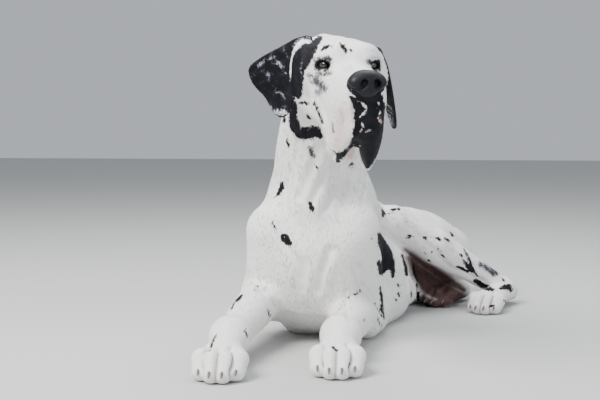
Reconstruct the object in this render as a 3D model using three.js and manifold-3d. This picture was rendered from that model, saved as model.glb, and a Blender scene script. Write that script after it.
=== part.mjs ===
// A great dane lying on its front, life size, as a still model. Millimetres, +Z up.
// The dog faces -Y, its left side is +X, and it rests on the floor at Z = 0.
// Its chest is upright between the forelegs and its rump has rolled over on to the right hip,
// so that the left thigh is on top and the left hind foot stands beside it.
//
// The skin is one smooth field of distances, built from bones and muscles. It is meshed as a whole,
// thinned where it is flat, and then parted into head, neck, torso, legs and tail.

import * as THREE from "three";
import { mergeVertices } from "three/addons/utils/BufferGeometryUtils.js";
import Module from "manifold-3d";

const wasm = await Module();
wasm.setup();

// Driving dimensions: the standing dog is about 840 mm at the withers.
const HEAD_LENGTH = 375;
const SKULL_HALF_WIDTH = 78;
const EYE_RADIUS = 12.5;
const LID_RADIUS = 15.5;
const EYE_SPACING = 85;
const FOREARM_RADIUS = 47;
const WRIST_RADIUS = 37;
const FORE_PAW_WIDTH = 96;
const HIND_PAW_WIDTH = 84;
const THIGH_RADIUS = 86;
const TAIL_ROOT_RADIUS = 30;
const TAIL_TIP_RADIUS = 9;
const EAR_THICKNESS = 7;
const CLAW_LENGTH = 15;
const GAP = 0.3;

// The head turns to the dog's left and its muzzle drops a little.
const EYE_LINE = [92, -328, 567];
const HEAD_YAW = THREE.MathUtils.degToRad(16);
const HEAD_DROP = THREE.MathUtils.degToRad(5);

// Joints of the skeleton, in the model's frame.
const LEFT = {
  shoulder: [90, -118, 236],
  elbow: [93, 5, 60],
  wrist: [76, -288, 52],
  toes: [84, -460, 0],
  hip: [250, 540, 125],
  knee: [185, 290, 160],
  ankle: [421, 446, 47],
  heel: [438, 474, 34],
  hindToes: [351, 271, 0],
};
const RIGHT = {
  shoulder: [-91, -122, 232],
  elbow: [-105, -74, 98],
  wrist: [-132, -335, 52],
  toes: [-121, -520, 0],
  hip: [165, 560, 82],
  knee: [52, 332, 62],
  ankle: [292, 474, 36],
  heel: [312, 503, 28],
  hindToes: [226, 345, 0],
};
const TAIL = [
  [225, 625, 105],
  [243, 690, 62],
  [212, 742, 30],
  [130, 772, 22],
  [40, 765, 17],
  [-45, 725, 12],
];

// Small vector helpers on plain triples.
const add = (a, b) => [a[0] + b[0], a[1] + b[1], a[2] + b[2]];
const sub = (a, b) => [a[0] - b[0], a[1] - b[1], a[2] - b[2]];
const scaled = (a, s) => [a[0] * s, a[1] * s, a[2] * s];
const dot = (a, b) => a[0] * b[0] + a[1] * b[1] + a[2] * b[2];
const cross = (a, b) => [a[1] * b[2] - a[2] * b[1], a[2] * b[0] - a[0] * b[2], a[0] * b[1] - a[1] * b[0]];
const lengthOf = (a) => Math.hypot(a[0], a[1], a[2]);
const unit = (a) => scaled(a, 1 / (lengthOf(a) || 1));
const mix = (a, b, t) => add(scaled(a, 1 - t), scaled(b, t));

// A round bone: a ball swept from a to b while its radius changes.
function bone(a, b, ra, rb) {
  const [dx, dy, dz] = sub(b, a);
  const long = dx * dx + dy * dy + dz * dz;
  return (x, y, z) => {
    const px = x - a[0];
    const py = y - a[1];
    const pz = z - a[2];
    const t = Math.min(1, Math.max(0, (px * dx + py * dy + pz * dz) / long));
    return Math.hypot(px - t * dx, py - t * dy, pz - t * dz) - ra - t * (rb - ra);
  };
}

// A bent tube through several points, with a radius at each: the nearest place on its middle line is
// found on short straight pieces.
function tube(points, radii, pieces = 60) {
  const path = new THREE.CatmullRomCurve3(points.map((p) => new THREE.Vector3(...p)));
  const girth = new THREE.CatmullRomCurve3(radii.map((r, i) => new THREE.Vector3(r, i * 40, 0)));
  const at = [...Array(pieces + 1).keys()].map((i) => path.getPoint(i / pieces).toArray());
  const r = at.map((_, i) => girth.getPoint(i / pieces).x);
  const steps = at.slice(1).map((p, i) => sub(p, at[i]));
  const squares = steps.map((v) => dot(v, v));
  return (x, y, z) => {
    let nearest = 1e6;
    for (let i = 0; i < pieces; i++) {
      const [a, v] = [at[i], steps[i]];
      const [px, py, pz] = [x - a[0], y - a[1], z - a[2]];
      const t = Math.min(1, Math.max(0, (px * v[0] + py * v[1] + pz * v[2]) / squares[i]));
      const gap = Math.hypot(px - v[0] * t, py - v[1] * t, pz - v[2] * t);
      nearest = Math.min(nearest, gap - r[i] - (r[i + 1] - r[i]) * t);
    }
    return nearest;
  };
}

// An egg: an ellipsoid turned by degrees about X, then Y, then Z.
function egg(centre, radii, turn = [0, 0, 0]) {
  const [tx, ty, tz] = turn.map(THREE.MathUtils.degToRad);
  const m = new THREE.Matrix4().makeRotationFromEuler(new THREE.Euler(tx, ty, tz, "ZYX")).elements;
  const [rx, ry, rz] = radii;
  return (x, y, z) => {
    const px = x - centre[0];
    const py = y - centre[1];
    const pz = z - centre[2];
    const u = m[0] * px + m[1] * py + m[2] * pz;
    const v = m[4] * px + m[5] * py + m[6] * pz;
    const w = m[8] * px + m[9] * py + m[10] * pz;
    const near = Math.hypot(u / rx, v / ry, w / rz);
    const far = Math.hypot(u / (rx * rx), v / (ry * ry), w / (rz * rz));
    return far < 1e-9 ? -Math.min(rx, ry, rz) : (near * (near - 1)) / far;
  };
}

// The lower of two distances, rounded over a blend of width k.
function lower(a, b, k) {
  const h = Math.max(k - Math.abs(a - b), 0) / k;
  return Math.min(a, b) - h * h * k * 0.25;
}

// Several forms melted together.
function melt(k, ...forms) {
  return (x, y, z) => forms.reduce((d, form) => lower(d, form(x, y, z), k), 1e6);
}

// A form with another carved out of it.
function carve(k, form, ...cuts) {
  return (x, y, z) => cuts.reduce((d, cut) => -lower(-d, cut(x, y, z), k), form(x, y, z));
}

// A form kept within a box: far outside it, the distance to the box stands in for the form's own.
function within(low, high, form) {
  return (x, y, z) => {
    const dx = Math.max(low[0] - x, 0, x - high[0]);
    const dy = Math.max(low[1] - y, 0, y - high[1]);
    const dz = Math.max(low[2] - z, 0, z - high[2]);
    const far = Math.hypot(dx, dy, dz);
    return far > 70 ? far : form(x, y, z);
  };
}

// The head's own frame: x to its left, y to the back, z up, with the origin midway between the eyes.
const headTurn = new THREE.Matrix4()
  .makeTranslation(...EYE_LINE)
  .multiply(new THREE.Matrix4().makeRotationZ(HEAD_YAW))
  .multiply(new THREE.Matrix4().makeRotationX(HEAD_DROP));
const headBack = headTurn.clone().invert();
const onHead = (p) => new THREE.Vector3(...p).applyMatrix4(headTurn).toArray();

function inHead(form) {
  const m = headBack.elements;
  return (x, y, z) =>
    form(
      m[0] * x + m[4] * y + m[8] * z + m[12],
      m[1] * x + m[5] * y + m[9] * z + m[13],
      m[2] * x + m[6] * y + m[10] * z + m[14],
    );
}

// Two mirrored copies, for forms on both sides of the head.
const both = (make) => [make(1), make(-1)];

function headForm() {
  const snout = 190 - HEAD_LENGTH;
  const w = SKULL_HALF_WIDTH;
  const skull = melt(
    22,
    egg([0, 80, -4], [w - 6, 105, 54]),
    egg([0, 25, -6], [w - 12, 62, 52]),
    ...both((s) => egg([s * (w - 22), 60, -26], [27, 58, 38])),
    ...both((s) => egg([s * (w - 26), 98, -52], [25, 46, 50])),
    ...both((s) => bone([s * 27, -7, 20], [s * 45, 18, 20], 15, 14)),
    egg([0, 135, 16], [34, 48, 36]),
  );
  const lips = melt(
    18,
    bone([0, -18, -20], [0, snout + 12, -26], 27, 23),
    ...both((s) => bone([s * 16, -15, -24], [s * 13, snout + 18, -28], 23, 20)),
    ...both((s) => bone([s * 36, 6, -36], [s * 16, snout + 24, -46], 28, 21)),
    ...both((s) => bone([s * 38, 2, -66], [s * 17, snout + 30, -64], 24, 20)),
    ...both((s) => egg([s * 22, -118, -84], [20, 56, 54], [-14, 0, -s * 6])),
    ...both((s) => egg([s * 30, -92, -108], [18, 60, 52], [-20, 0, -s * 10])),
    ...both((s) => egg([s * 36, -82, -134], [12, 50, 38], [-16, 0, -s * 12])),
    ...both((s) => bone([s * 36, -44, -102], [s * 42, 10, -72], 18, 24)),
  );
  const parted = carve(10, lips, egg([0, snout + 16, -158], [20, 52, 84], [-12, 0, 0]));
  const jaw = melt(
    20,
    bone([0, -118, -120], [0, -40, -112], 19, 32),
    ...both((s) => bone([s * 22, -80, -112], [s * 46, 74, -74], 22, 28)),
    egg([0, 20, -90], [48, 66, 30]),
  );
  const solid = melt(18, skull, melt(10, parted, jaw));
  const lids = both((s) => egg([(s * EYE_SPACING) / 2, 0, 0], [LID_RADIUS, LID_RADIUS, LID_RADIUS - 1.5]));
  const slits = both((s) => egg([s * (EYE_SPACING / 2 + 5.2), -13, -0.5], [12, 14, 6.8], [0, -s * 6, s * 22]));
  return carve(4, melt(9, solid, ...lids), ...slits);
}

// The nose leather, with a nostril and its side slit on each side and a groove between them.
function nosePad() {
  const snout = 190 - HEAD_LENGTH;
  return melt(8, egg([0, snout + 4, -22], [30, 19, 21]), egg([0, snout + 4, -40], [20, 17, 16]));
}

function noseForm() {
  const snout = 190 - HEAD_LENGTH;
  const holes = both((s) => egg([s * 14, snout - 14, -29], [6.5, 13, 6]));
  const slits = both((s) => egg([s * 25, snout - 4, -35], [9, 12, 2.6], [0, s * 24, 0]));
  return carve(4, nosePad(), ...holes, ...slits);
}

// An ear flap: a thin leaf over a plane, its outline a ring of points and its bow a height over the plane.
function flap(origin, outward, up, ring, bow) {
  const front = unit(cross(outward, up));
  return (x, y, z) => {
    const p = sub([x, y, z], origin);
    const u = dot(p, outward);
    const v = dot(p, up);
    let nearest = Infinity;
    let inside = false;
    for (let i = 0, j = ring.length - 1; i < ring.length; j = i++) {
      const [ax, ay] = ring[j];
      const [ex, ey] = [ring[i][0] - ax, ring[i][1] - ay];
      const t = Math.min(1, Math.max(0, ((u - ax) * ex + (v - ay) * ey) / (ex * ex + ey * ey)));
      nearest = Math.min(nearest, Math.hypot(u - ax - t * ex, v - ay - t * ey));
      if (ay > v !== ring[i][1] > v && u < (ex * (v - ay)) / ey + ax) inside = !inside;
    }
    const rim = (inside ? -nearest : nearest) + EAR_THICKNESS / 2;
    const lift = (dot(p, front) - bow(u, v)) * 0.8;
    return Math.hypot(Math.max(rim, 0), lift) - EAR_THICKNESS / 2;
  };
}

// The right ear is thrown out from the head and faces forward; the left one hangs down beside the cheek.
// Each outline is a few corners, rounded into a ring.
const ringOf = (corners) =>
  new THREE.CatmullRomCurve3(corners.map(([u, v]) => new THREE.Vector3(u, v, 0)), true, "centripetal")
    .getPoints(34)
    .slice(1)
    .map((p) => [p.x, p.y]);
const RIGHT_EAR_RING = ringOf([
  [-8, 20], [24, 17], [58, 0], [98, -22], [121, -44], [114, -74], [92, -100], [76, -128], [58, -139],
  [42, -128], [34, -100], [30, -60], [20, -32], [-4, -40],
]);
const LEFT_EAR_RING = ringOf([
  [-34, -6], [24, -4], [48, -36], [46, -84], [28, -128], [8, -156], [-12, -144], [-34, -98], [-44, -38],
]);

function earForms() {
  const back = Math.sin(THREE.MathUtils.degToRad(24));
  const right = melt(
    12,
    flap([-64, 62, 32], [-Math.sqrt(1 - back * back), back, 0], [0, 0, 1], RIGHT_EAR_RING, (u, v) =>
      12 * Math.sin(u / 38) - 7 * Math.cos(v / 36),
    ),
    bone([-52, 72, 24], [-84, 68, 34], 18, 8),
    bone([-60, 84, 10], [-78, 76, -4], 16, 10),
  );
  const left = melt(
    12,
    flap([66, 64, 38], [0, 1, 0], [0, 0, 1], LEFT_EAR_RING, (u, v) =>
      8 + 25 * (1 - Math.exp(Math.min(0, v + 2) / 26)) - 6 * Math.sin(v / 34) - (u * u) / 220,
    ),
    bone([52, 72, 24], [76, 66, 32], 18, 9),
    bone([62, 84, 8], [80, 72, 8], 14, 9),
  );
  return { left, right };
}

function neckForm() {
  return melt(
    30,
    tube([[2, 10, 280], [2, -50, 352], [7, -98, 420], [28, -150, 500], [50, -180, 540]], [112, 97, 85, 78, 70]),
    bone([14, -140, 300], [30, -196, 440], 26, 18),
    bone([-16, -138, 300], [10, -190, 440], 24, 16),
  );
}

// The trunk is a run of oval sections, each given by its place along Y, its middle across,
// its half width, and its lowest and highest points.
const TRUNK = [
  { y: -140, across: 3, half: 78, low: 72, high: 296 },
  { y: -110, across: 3, half: 96, low: 46, high: 322 },
  { y: -60, across: 3, half: 108, low: 16, high: 352 },
  { y: 10, across: 4, half: 115, low: -12, high: 388 },
  { y: 80, across: 8, half: 120, low: -20, high: 384 },
  { y: 180, across: 16, half: 124, low: -22, high: 350 },
  { y: 300, across: 45, half: 114, low: -22, high: 298 },
  { y: 420, across: 112, half: 100, low: -16, high: 244 },
  { y: 520, across: 168, half: 90, low: -10, high: 228 },
  { y: 580, across: 196, half: 72, low: 4, high: 192 },
  { y: 625, across: 206, half: 50, low: 24, high: 156 },
  { y: 652, across: 212, half: 20, low: 66, high: 110 },
];

// A smooth value between stations, by a cubic through four of them.
function between(stations, name, y) {
  let i = 1;
  while (i < stations.length - 1 && y > stations[i].y) i++;
  const [p, q] = [stations[i - 1], stations[i]];
  const t = Math.min(1, Math.max(0, (y - p.y) / (q.y - p.y)));
  const slope = (j) => {
    const [l, r] = [stations[Math.max(0, j - 1)], stations[Math.min(stations.length - 1, j + 1)]];
    return (r[name] - l[name]) / (r.y - l.y);
  };
  const span = q.y - p.y;
  const [a, b] = [slope(i - 1) * span, slope(i) * span];
  const [t2, t3] = [t * t, t * t * t];
  return (2 * t3 - 3 * t2 + 1) * p[name] + (t3 - 2 * t2 + t) * a + (3 * t2 - 2 * t3) * q[name] + (t3 - t2) * b;
}

function sections(stations) {
  const first = stations[0].y;
  const last = stations[stations.length - 1].y;
  return (x, y, z) => {
    const at = Math.min(last, Math.max(first, y));
    const half = between(stations, "half", at);
    const low = between(stations, "low", at);
    const high = between(stations, "high", at);
    const tall = (high - low) / 2;
    const u = x - between(stations, "across", at);
    const w = z - (high + low) / 2;
    const sag = Math.min(1, Math.max(0, -w / tall));
    const n = 2 + 1.6 * sag * (2 - sag);
    const [a, b] = [Math.abs(u) / half, Math.abs(w) / tall];
    const near = (a ** n + b ** n) ** (1 / n);
    const slope = Math.hypot(a ** (n - 1) / half, b ** (n - 1) / tall) * near ** (1 - n);
    const side = near < 1e-3 ? -half : (near - 1) / slope;
    const past = Math.abs(y - at);
    return past > 0 ? Math.hypot(Math.max(side, 0), past) : side;
  };
}

function trunkForm() {
  return melt(
    36,
    sections(TRUNK),
    egg([3, -112, 178], [88, 72, 118]),
    egg([206, 585, 98], [74, 82, 86], [0, 0, -20]),
    bone([-34, 30, 345], [-16, 70, 340], 34, 34),
    bone([38, 30, 345], [20, 70, 340], 34, 34),
    ...both((s) => bone([s * 40, -122, 190], [s * 46, -98, 118], 50, 46)),
    bone([86, 90, 52], [124, 200, 48], 54, 50),
    bone([124, 200, 48], [158, 300, 44], 50, 38),
  );
}

// Leg forms: the upper part is muscle, and the lower part is bone and tendon under thin skin.
function forelegForm(j) {
  const side = Math.sign(j.shoulder[0]);
  const arm = melt(
    34,
    bone(j.shoulder, j.elbow, 47, 47),
    bone(add(j.shoulder, [0, 60, 0]), add(j.elbow, [0, 24, 14]), 42, 38),
    bone(add(j.shoulder, [-side * 44, 110, 96]), add(j.shoulder, [-side * 6, 10, 16]), 32, 42),
  );
  const mid = mix(j.elbow, j.wrist, 0.5);
  const forearm = melt(
    16,
    tube(
      [j.elbow, mid, mix(j.elbow, j.wrist, 0.82), j.wrist],
      [FOREARM_RADIUS, FOREARM_RADIUS - 5, WRIST_RADIUS - 2, WRIST_RADIUS],
    ),
    bone(add(j.elbow, [0, 34, -12]), mid, 24, 22),
  );
  return melt(22, arm, forearm, pawForm(j.wrist, j.toes, FORE_PAW_WIDTH, WRIST_RADIUS - 1));
}

// A paw runs from the wrist, or the end of the instep, to the toe tips: four toes side by side over pads.
const TOE_OFFSETS = [-0.35, -0.118, 0.118, 0.35];
const TOE_SETBACK = [22, 2, 2, 22];

function toeLine(from, tips, width, i) {
  const along = unit([tips[0] - from[0], tips[1] - from[1], 0]);
  const across = [-along[1], along[0], 0];
  const tip = add(add(tips, scaled(across, TOE_OFFSETS[i] * width)), scaled(along, -TOE_SETBACK[i]));
  const r = width * 0.174;
  const back = (far, high) => add([tip[0], tip[1], high], scaled(along, -far));
  return {
    along,
    r,
    tip: back(r, r * 0.98),
    knuckle: back(r * 2.3, r * 2.15),
    root: add(back(width * 0.8, r * 2.0), scaled(across, -TOE_OFFSETS[i] * width * 0.3)),
  };
}

function pawForm(from, tips, width, rootRadius) {
  const toes = TOE_OFFSETS.map((_, i) => {
    const t = toeLine(from, tips, width, i);
    return melt(8, bone(t.root, t.knuckle, t.r * 1.15, t.r * 1.1), bone(t.knuckle, t.tip, t.r * 1.1, t.r * 0.95));
  });
  const { along, r } = toeLine(from, tips, width, 1);
  const under = add([tips[0], tips[1], 17], scaled(along, -width * 0.55));
  const web = add([tips[0], tips[1], r * 1.75], scaled(along, -width * 0.56));
  const instep = add([tips[0], tips[1], r * 1.9], scaled(along, -width * 0.95));
  return melt(
    14,
    bone(from, instep, rootRadius, r * 2.0),
    egg(under, [width * 0.4, width * 0.42, 20]),
    egg(web, [width * 0.4, width * 0.27, r * 1.2]),
    melt(6, ...toes),
  );
}

function thighForm(j) {
  const along = sub(j.hip, j.knee);
  const turn = [
    THREE.MathUtils.radToDeg(Math.atan2(along[2], Math.hypot(along[0], along[1]))),
    0,
    -THREE.MathUtils.radToDeg(Math.atan2(along[0], along[1])),
  ];
  return melt(
    34,
    egg(mix(j.hip, j.knee, 0.36), [THIGH_RADIUS - 2, lengthOf(along) * 0.72, THIGH_RADIUS - 3], turn),
    bone(mix(j.hip, j.knee, 0.5), j.knee, THIGH_RADIUS - 18, 50),
    bone(add(j.hip, [18, -20, -18]), add(mix(j.hip, j.knee, 0.45), [34, 10, -20]), 60, 52),
  );
}

// Where the instep ends and the toes begin.
const instepOf = (j) => add(mix(j.heel, j.hindToes, 0.52), [0, 0, 28 - j.heel[2] * 0.48]);

function shankForm(j, lie) {
  const calf = mix(j.knee, j.ankle, 0.35);
  const shank = melt(
    16,
    bone(j.knee, calf, 48, 44),
    bone(calf, j.ankle, 44, 26),
    bone(add(calf, [0, 14, lie * 8]), j.heel, 30, 16),
    bone(j.ankle, j.heel, 26, 18),
  );
  const ball = instepOf(j);
  return melt(
    12,
    shank,
    bone(j.ankle, ball, 25, 26),
    bone(j.heel, ball, 20, 22),
    pawForm(ball, j.hindToes, HIND_PAW_WIDTH, 27),
  );
}

function tailForm() {
  const radii = TAIL.map((_, i) => THREE.MathUtils.lerp(TAIL_ROOT_RADIUS, TAIL_TIP_RADIUS, i / (TAIL.length - 1)));
  return tube(TAIL, radii);
}

const head = inHead(within([-90, -205, -180], [90, 195, 65], headForm()));
const ears = earForms();
const earLeft = inHead(within([50, 10, -130], [130, 130, 60], ears.left));
const earRight = inHead(within([-190, 40, -115], [-50, 130, 60], ears.right));
const neck = within([-120, -260, 170], [150, 130, 620], neckForm());
const trunk = within([-160, -190, 0], [330, 660, 400], trunkForm());
const forelegLeft = within([20, -470, 0], [180, 80, 330], forelegForm(LEFT));
const forelegRight = within([-190, -530, 0], [-30, 60, 330], forelegForm(RIGHT));
const thighLeft = within([100, 230, 0], [370, 660, 260], thighForm(LEFT));
const thighRight = within([-20, 240, -60], [330, 700, 200], thighForm(RIGHT));
const shankLeft = within([110, 230, 0], [490, 500, 230], shankForm(LEFT, 1));
const shankRight = within([-20, 260, -20], [380, 600, 130], shankForm(RIGHT, -1));
const hindlegLeft = melt(12, thighLeft, shankLeft);
const hindlegRight = melt(12, thighRight, shankRight);
const tail = within([-60, 590, 0], [280, 810, 140], tailForm());

// The whole skin without the ears, and with them.
function bareSkin(x, y, z) {
  let d = lower(trunk(x, y, z), neck(x, y, z), 60);
  d = lower(d, forelegLeft(x, y, z), 34);
  d = lower(d, forelegRight(x, y, z), 34);
  d = lower(d, thighLeft(x, y, z), 24);
  d = lower(d, thighRight(x, y, z), 36);
  d = lower(d, shankLeft(x, y, z), 12);
  d = lower(d, shankRight(x, y, z), 12);
  d = lower(d, tail(x, y, z), 20);
  return lower(d, head(x, y, z), 26);
}

function skin(x, y, z) {
  const ears = lower(earLeft(x, y, z), earRight(x, y, z), 10);
  return Math.max(lower(bareSkin(x, y, z), ears, 10), -z);
}

// Meshing: the field is sampled on a lattice, each cube is split into six tetrahedra,
// and a face is laid wherever one of these crosses the skin.
const AXIS_ORDERS = [
  [1, 2, 4, 1], [2, 4, 1, 1], [4, 1, 2, 1], [2, 1, 4, -1], [1, 4, 2, -1], [4, 2, 1, -1],
];
const ONE_IN = [[0, 1, 2, 3], [1, 0, 3, 2], [2, 3, 0, 1], [3, 2, 1, 0]];
const TWO_IN = { 3: [0, 1, 2, 3], 5: [0, 2, 3, 1], 9: [0, 3, 1, 2], 6: [1, 2, 0, 3], 10: [1, 3, 2, 0], 12: [2, 3, 0, 1] };

function meshed(field, low, high, step) {
  const n = [0, 1, 2].map((k) => Math.ceil((high[k] - low[k]) / step) + 1);
  const at = (i, j, k) => (k * n[1] + j) * n[0] + i;
  const value = new Float32Array(n[0] * n[1] * n[2]);
  for (let k = 0; k < n[2]; k++)
    for (let j = 0; j < n[1]; j++)
      for (let i = 0; i < n[0]; i++)
        value[at(i, j, k)] = field(low[0] + i * step, low[1] + j * step, low[2] + k * step);
  const points = [];
  const faces = [];
  const made = new Map();
  const offset = [0, 1, 2, 3, 4, 5, 6, 7].map((b) => at(b & 1, (b >> 1) & 1, (b >> 2) & 1));

  function crossing(base, p, q, i, j, k) {
    const [from, to] = p < q ? [p, q] : [q, p];
    const key = (base + offset[from]) * 8 + (from ^ to);
    let found = made.get(key);
    if (found === undefined) {
      const a = value[base + offset[from]];
      const b = value[base + offset[to]];
      const t = Math.min(0.97, Math.max(0.03, a / (a - b)));
      const place = (bit, cell, axis) => {
        const s = ((from >> bit) & 1) * (1 - t) + ((to >> bit) & 1) * t;
        return low[axis] + (cell + s) * step;
      };
      found = points.push([place(0, i, 0), place(1, j, 1), place(2, k, 2)]) - 1;
      made.set(key, found);
    }
    return found;
  }

  for (let k = 0; k < n[2] - 1; k++)
    for (let j = 0; j < n[1] - 1; j++)
      for (let i = 0; i < n[0] - 1; i++) {
        const base = at(i, j, k);
        let inside = 0;
        for (let b = 0; b < 8; b++) if (value[base + offset[b]] < 0) inside |= 1 << b;
        if (inside === 0 || inside === 255) continue;
        for (const [first, second, , sign] of AXIS_ORDERS) {
          const corner = sign > 0 ? [0, first, first | second, 7] : [0, first | second, first, 7];
          let mask = 0;
          for (let c = 0; c < 4; c++) if ((inside >> corner[c]) & 1) mask |= 1 << c;
          if (mask === 0 || mask === 15) continue;
          const cut = (p, q) => crossing(base, corner[p], corner[q], i, j, k);
          if (TWO_IN[mask]) {
            const [a, b, c, d] = TWO_IN[mask];
            const quad = [cut(a, c), cut(a, d), cut(b, d), cut(b, c)];
            faces.push([quad[0], quad[1], quad[2]], [quad[0], quad[2], quad[3]]);
          } else {
            const single = [1, 2, 4, 8].indexOf(mask) >= 0 ? mask : 15 - mask;
            const [a, b, c, d] = ONE_IN[Math.log2(single)];
            const face = [cut(a, b), cut(a, c), cut(a, d)];
            faces.push(single === mask ? face : [face[0], face[2], face[1]]);
          }
        }
      }
  return { points, faces };
}

// Pulls the points of a mesh on to the field's zero surface.
function settled({ points, faces }, field, reach) {
  const e = 0.5;
  const moved = points.map(([x, y, z]) => {
    const d = field(x, y, z);
    const g = [
      field(x + e, y, z) - field(x - e, y, z),
      field(x, y + e, z) - field(x, y - e, z),
      field(x, y, z + e) - field(x, y, z - e),
    ];
    const steep = Math.max(dot(g, g), 1e-6) / (2 * e);
    const far = Math.max(-reach, Math.min(reach, d));
    return sub([x, y, z], scaled(g, far / steep));
  });
  return { points: moved, faces };
}

// Thinning: edges are closed up, cheapest first, where that moves the surface least.
function thinned({ points, faces }, wanted) {
  const p = points.map((q) => q.slice());
  const f = faces.map((t) => t.slice());
  const alive = f.map(() => true);
  const round = p.map(() => new Set());
  f.forEach((t, i) => t.forEach((v) => round[v].add(i)));
  const quadric = p.map(() => new Float64Array(10));
  const normalOf = (a, b, c) => cross(sub(b, a), sub(c, a));
  for (const t of f) {
    const n = normalOf(p[t[0]], p[t[1]], p[t[2]]);
    const area = lengthOf(n) / 2;
    if (area < 1e-9) continue;
    const [a, b, c] = scaled(n, 0.5 / area);
    const d = -dot([a, b, c], p[t[0]]);
    const terms = [a * a, a * b, a * c, a * d, b * b, b * c, b * d, c * c, c * d, d * d];
    for (const v of t) terms.forEach((term, i) => (quadric[v][i] += term * area));
  }
  const costAt = (q, [x, y, z]) =>
    q[0] * x * x + 2 * q[1] * x * y + 2 * q[2] * x * z + 2 * q[3] * x + q[4] * y * y +
    2 * q[5] * y * z + 2 * q[6] * y + q[7] * z * z + 2 * q[8] * z + q[9];

  function best(a, b) {
    const q = quadric[a].map((v, i) => v + quadric[b][i]);
    const middle = mix(p[a], p[b], 0.5);
    const pull = (q[0] + q[4] + q[7]) * 2e-3 + 1e-6;
    const m = new THREE.Matrix3().set(q[0] + pull, q[1], q[2], q[1], q[4] + pull, q[5], q[2], q[5], q[7] + pull);
    const right = new THREE.Vector3(
      pull * middle[0] - q[3],
      pull * middle[1] - q[6],
      pull * middle[2] - q[8],
    );
    const place = Math.abs(m.determinant()) > 1e-12 ? right.applyMatrix3(m.invert()).toArray() : middle;
    const long = lengthOf(sub(p[a], p[b]));
    const ok = lengthOf(sub(place, middle)) < 2 * long;
    const spot = ok ? place : middle;
    return { cost: Math.max(0, costAt(q, spot)) + 1e-4 * long * long * long, spot };
  }

  const heap = [];
  const stamp = new Uint32Array(p.length);
  function push(item) {
    let i = heap.push(item) - 1;
    while (i > 0) {
      const up = (i - 1) >> 1;
      if (heap[up].cost <= heap[i].cost) break;
      [heap[up], heap[i]] = [heap[i], heap[up]];
      i = up;
    }
  }
  function pop() {
    const top = heap[0];
    const last = heap.pop();
    if (heap.length) {
      heap[0] = last;
      for (let i = 0; ; ) {
        let down = 2 * i + 1;
        if (down >= heap.length) break;
        if (down + 1 < heap.length && heap[down + 1].cost < heap[down].cost) down++;
        if (heap[i].cost <= heap[down].cost) break;
        [heap[down], heap[i]] = [heap[i], heap[down]];
        i = down;
      }
    }
    return top;
  }
  const offer = (a, b) => push({ ...best(a, b), a, b, sa: stamp[a], sb: stamp[b] });
  const neighbours = (v) => {
    const set = new Set();
    for (const i of round[v]) for (const w of f[i]) if (w !== v) set.add(w);
    return set;
  };
  p.forEach((_, v) => neighbours(v).forEach((w) => v < w && offer(v, w)));

  let left = f.length;
  while (left > wanted && heap.length) {
    const { a, b, sa, sb, spot } = pop();
    if (stamp[a] !== sa || stamp[b] !== sb || !round[a].size || !round[b].size) continue;
    const shared = [...round[a]].filter((i) => round[b].has(i));
    const nearA = neighbours(a);
    const common = [...neighbours(b)].filter((v) => nearA.has(v));
    if (shared.length !== 2 || common.length !== 2) continue;
    const flips = [[a, b], [b, a]].some(([v, other]) =>
      [...round[v]].some((i) => {
        if (f[i].includes(other)) return false;
        const old = f[i].map((w) => p[w]);
        const now = f[i].map((w) => (w === v ? spot : p[w]));
        const before = normalOf(...old);
        const after = normalOf(...now);
        return dot(before, after) < 0.35 * lengthOf(before) * lengthOf(after) || lengthOf(after) < 1e-3;
      }),
    );
    if (flips) continue;
    for (const i of shared) {
      alive[i] = false;
      f[i].forEach((v) => round[v].delete(i));
    }
    for (const i of round[b]) {
      f[i] = f[i].map((v) => (v === b ? a : v));
      round[a].add(i);
    }
    round[b].clear();
    p[a] = spot;
    quadric[a] = quadric[a].map((v, i) => v + quadric[b][i]);
    left -= 2;
    stamp[a]++;
    stamp[b]++;
    for (const v of neighbours(a)) offer(Math.min(a, v), Math.max(a, v));
  }
  const used = new Map();
  const kept = f.filter((_, i) => alive[i]).map((t) =>
    t.map((v) => {
      if (!used.has(v)) used.set(v, used.size);
      return used.get(v);
    }),
  );
  return { points: [...used.keys()].map((v) => p[v]), faces: kept };
}

const solid = ({ points, faces }) =>
  new wasm.Manifold(
    new wasm.Mesh({
      numProp: 3,
      vertProperties: new Float32Array(points.flat()),
      triVerts: new Uint32Array(faces.flat()),
    }),
  );

const largest = (body) =>
  body.decompose().reduce((most, piece) => (piece.volume() > most.volume() ? piece : most));

function formMesh(field, low, high, step, wanted) {
  return thinned(settled(meshed(field, low, high, step), field, step * 0.4), wanted);
}

// A turned box, for parting: its middle and its three sizes, in a frame of its own.
function block(middle, sizes, frame = new THREE.Matrix4()) {
  const box = new THREE.BoxGeometry(...sizes);
  return fromGeometry(box.translate(...middle).applyMatrix4(frame));
}

// A three.js geometry as a solid, with its doubled corners joined.
function fromGeometry(geometry) {
  const bare = new THREE.BufferGeometry();
  bare.setAttribute("position", geometry.getAttribute("position"));
  if (geometry.getIndex()) bare.setIndex(geometry.getIndex());
  const g = mergeVertices(bare, 1e-3);
  return new wasm.Manifold(
    new wasm.Mesh({
      numProp: 3,
      vertProperties: new Float32Array(g.getAttribute("position").array),
      triVerts: new Uint32Array(g.getIndex().array),
    }),
  );
}

const placed = ({ points, faces }, matrix) => ({
  points: points.map((p) => new THREE.Vector3(...p).applyMatrix4(matrix).toArray()),
  faces,
});

// A body cut clear of a shape: the shape is taken out where it stands and a little to each of six sides.
function clearOf(body, shape, gap = 1.5 * GAP) {
  const steps = [[0, 0, 0], [gap, 0, 0], [-gap, 0, 0], [0, gap, 0], [0, -gap, 0], [0, 0, gap], [0, 0, -gap]];
  return steps.reduce(
    (cut, step) => cut.subtract(solid(placed(shape, new THREE.Matrix4().makeTranslation(...step)))),
    body,
  );
}

const group = new THREE.Group();
export default group;

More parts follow.
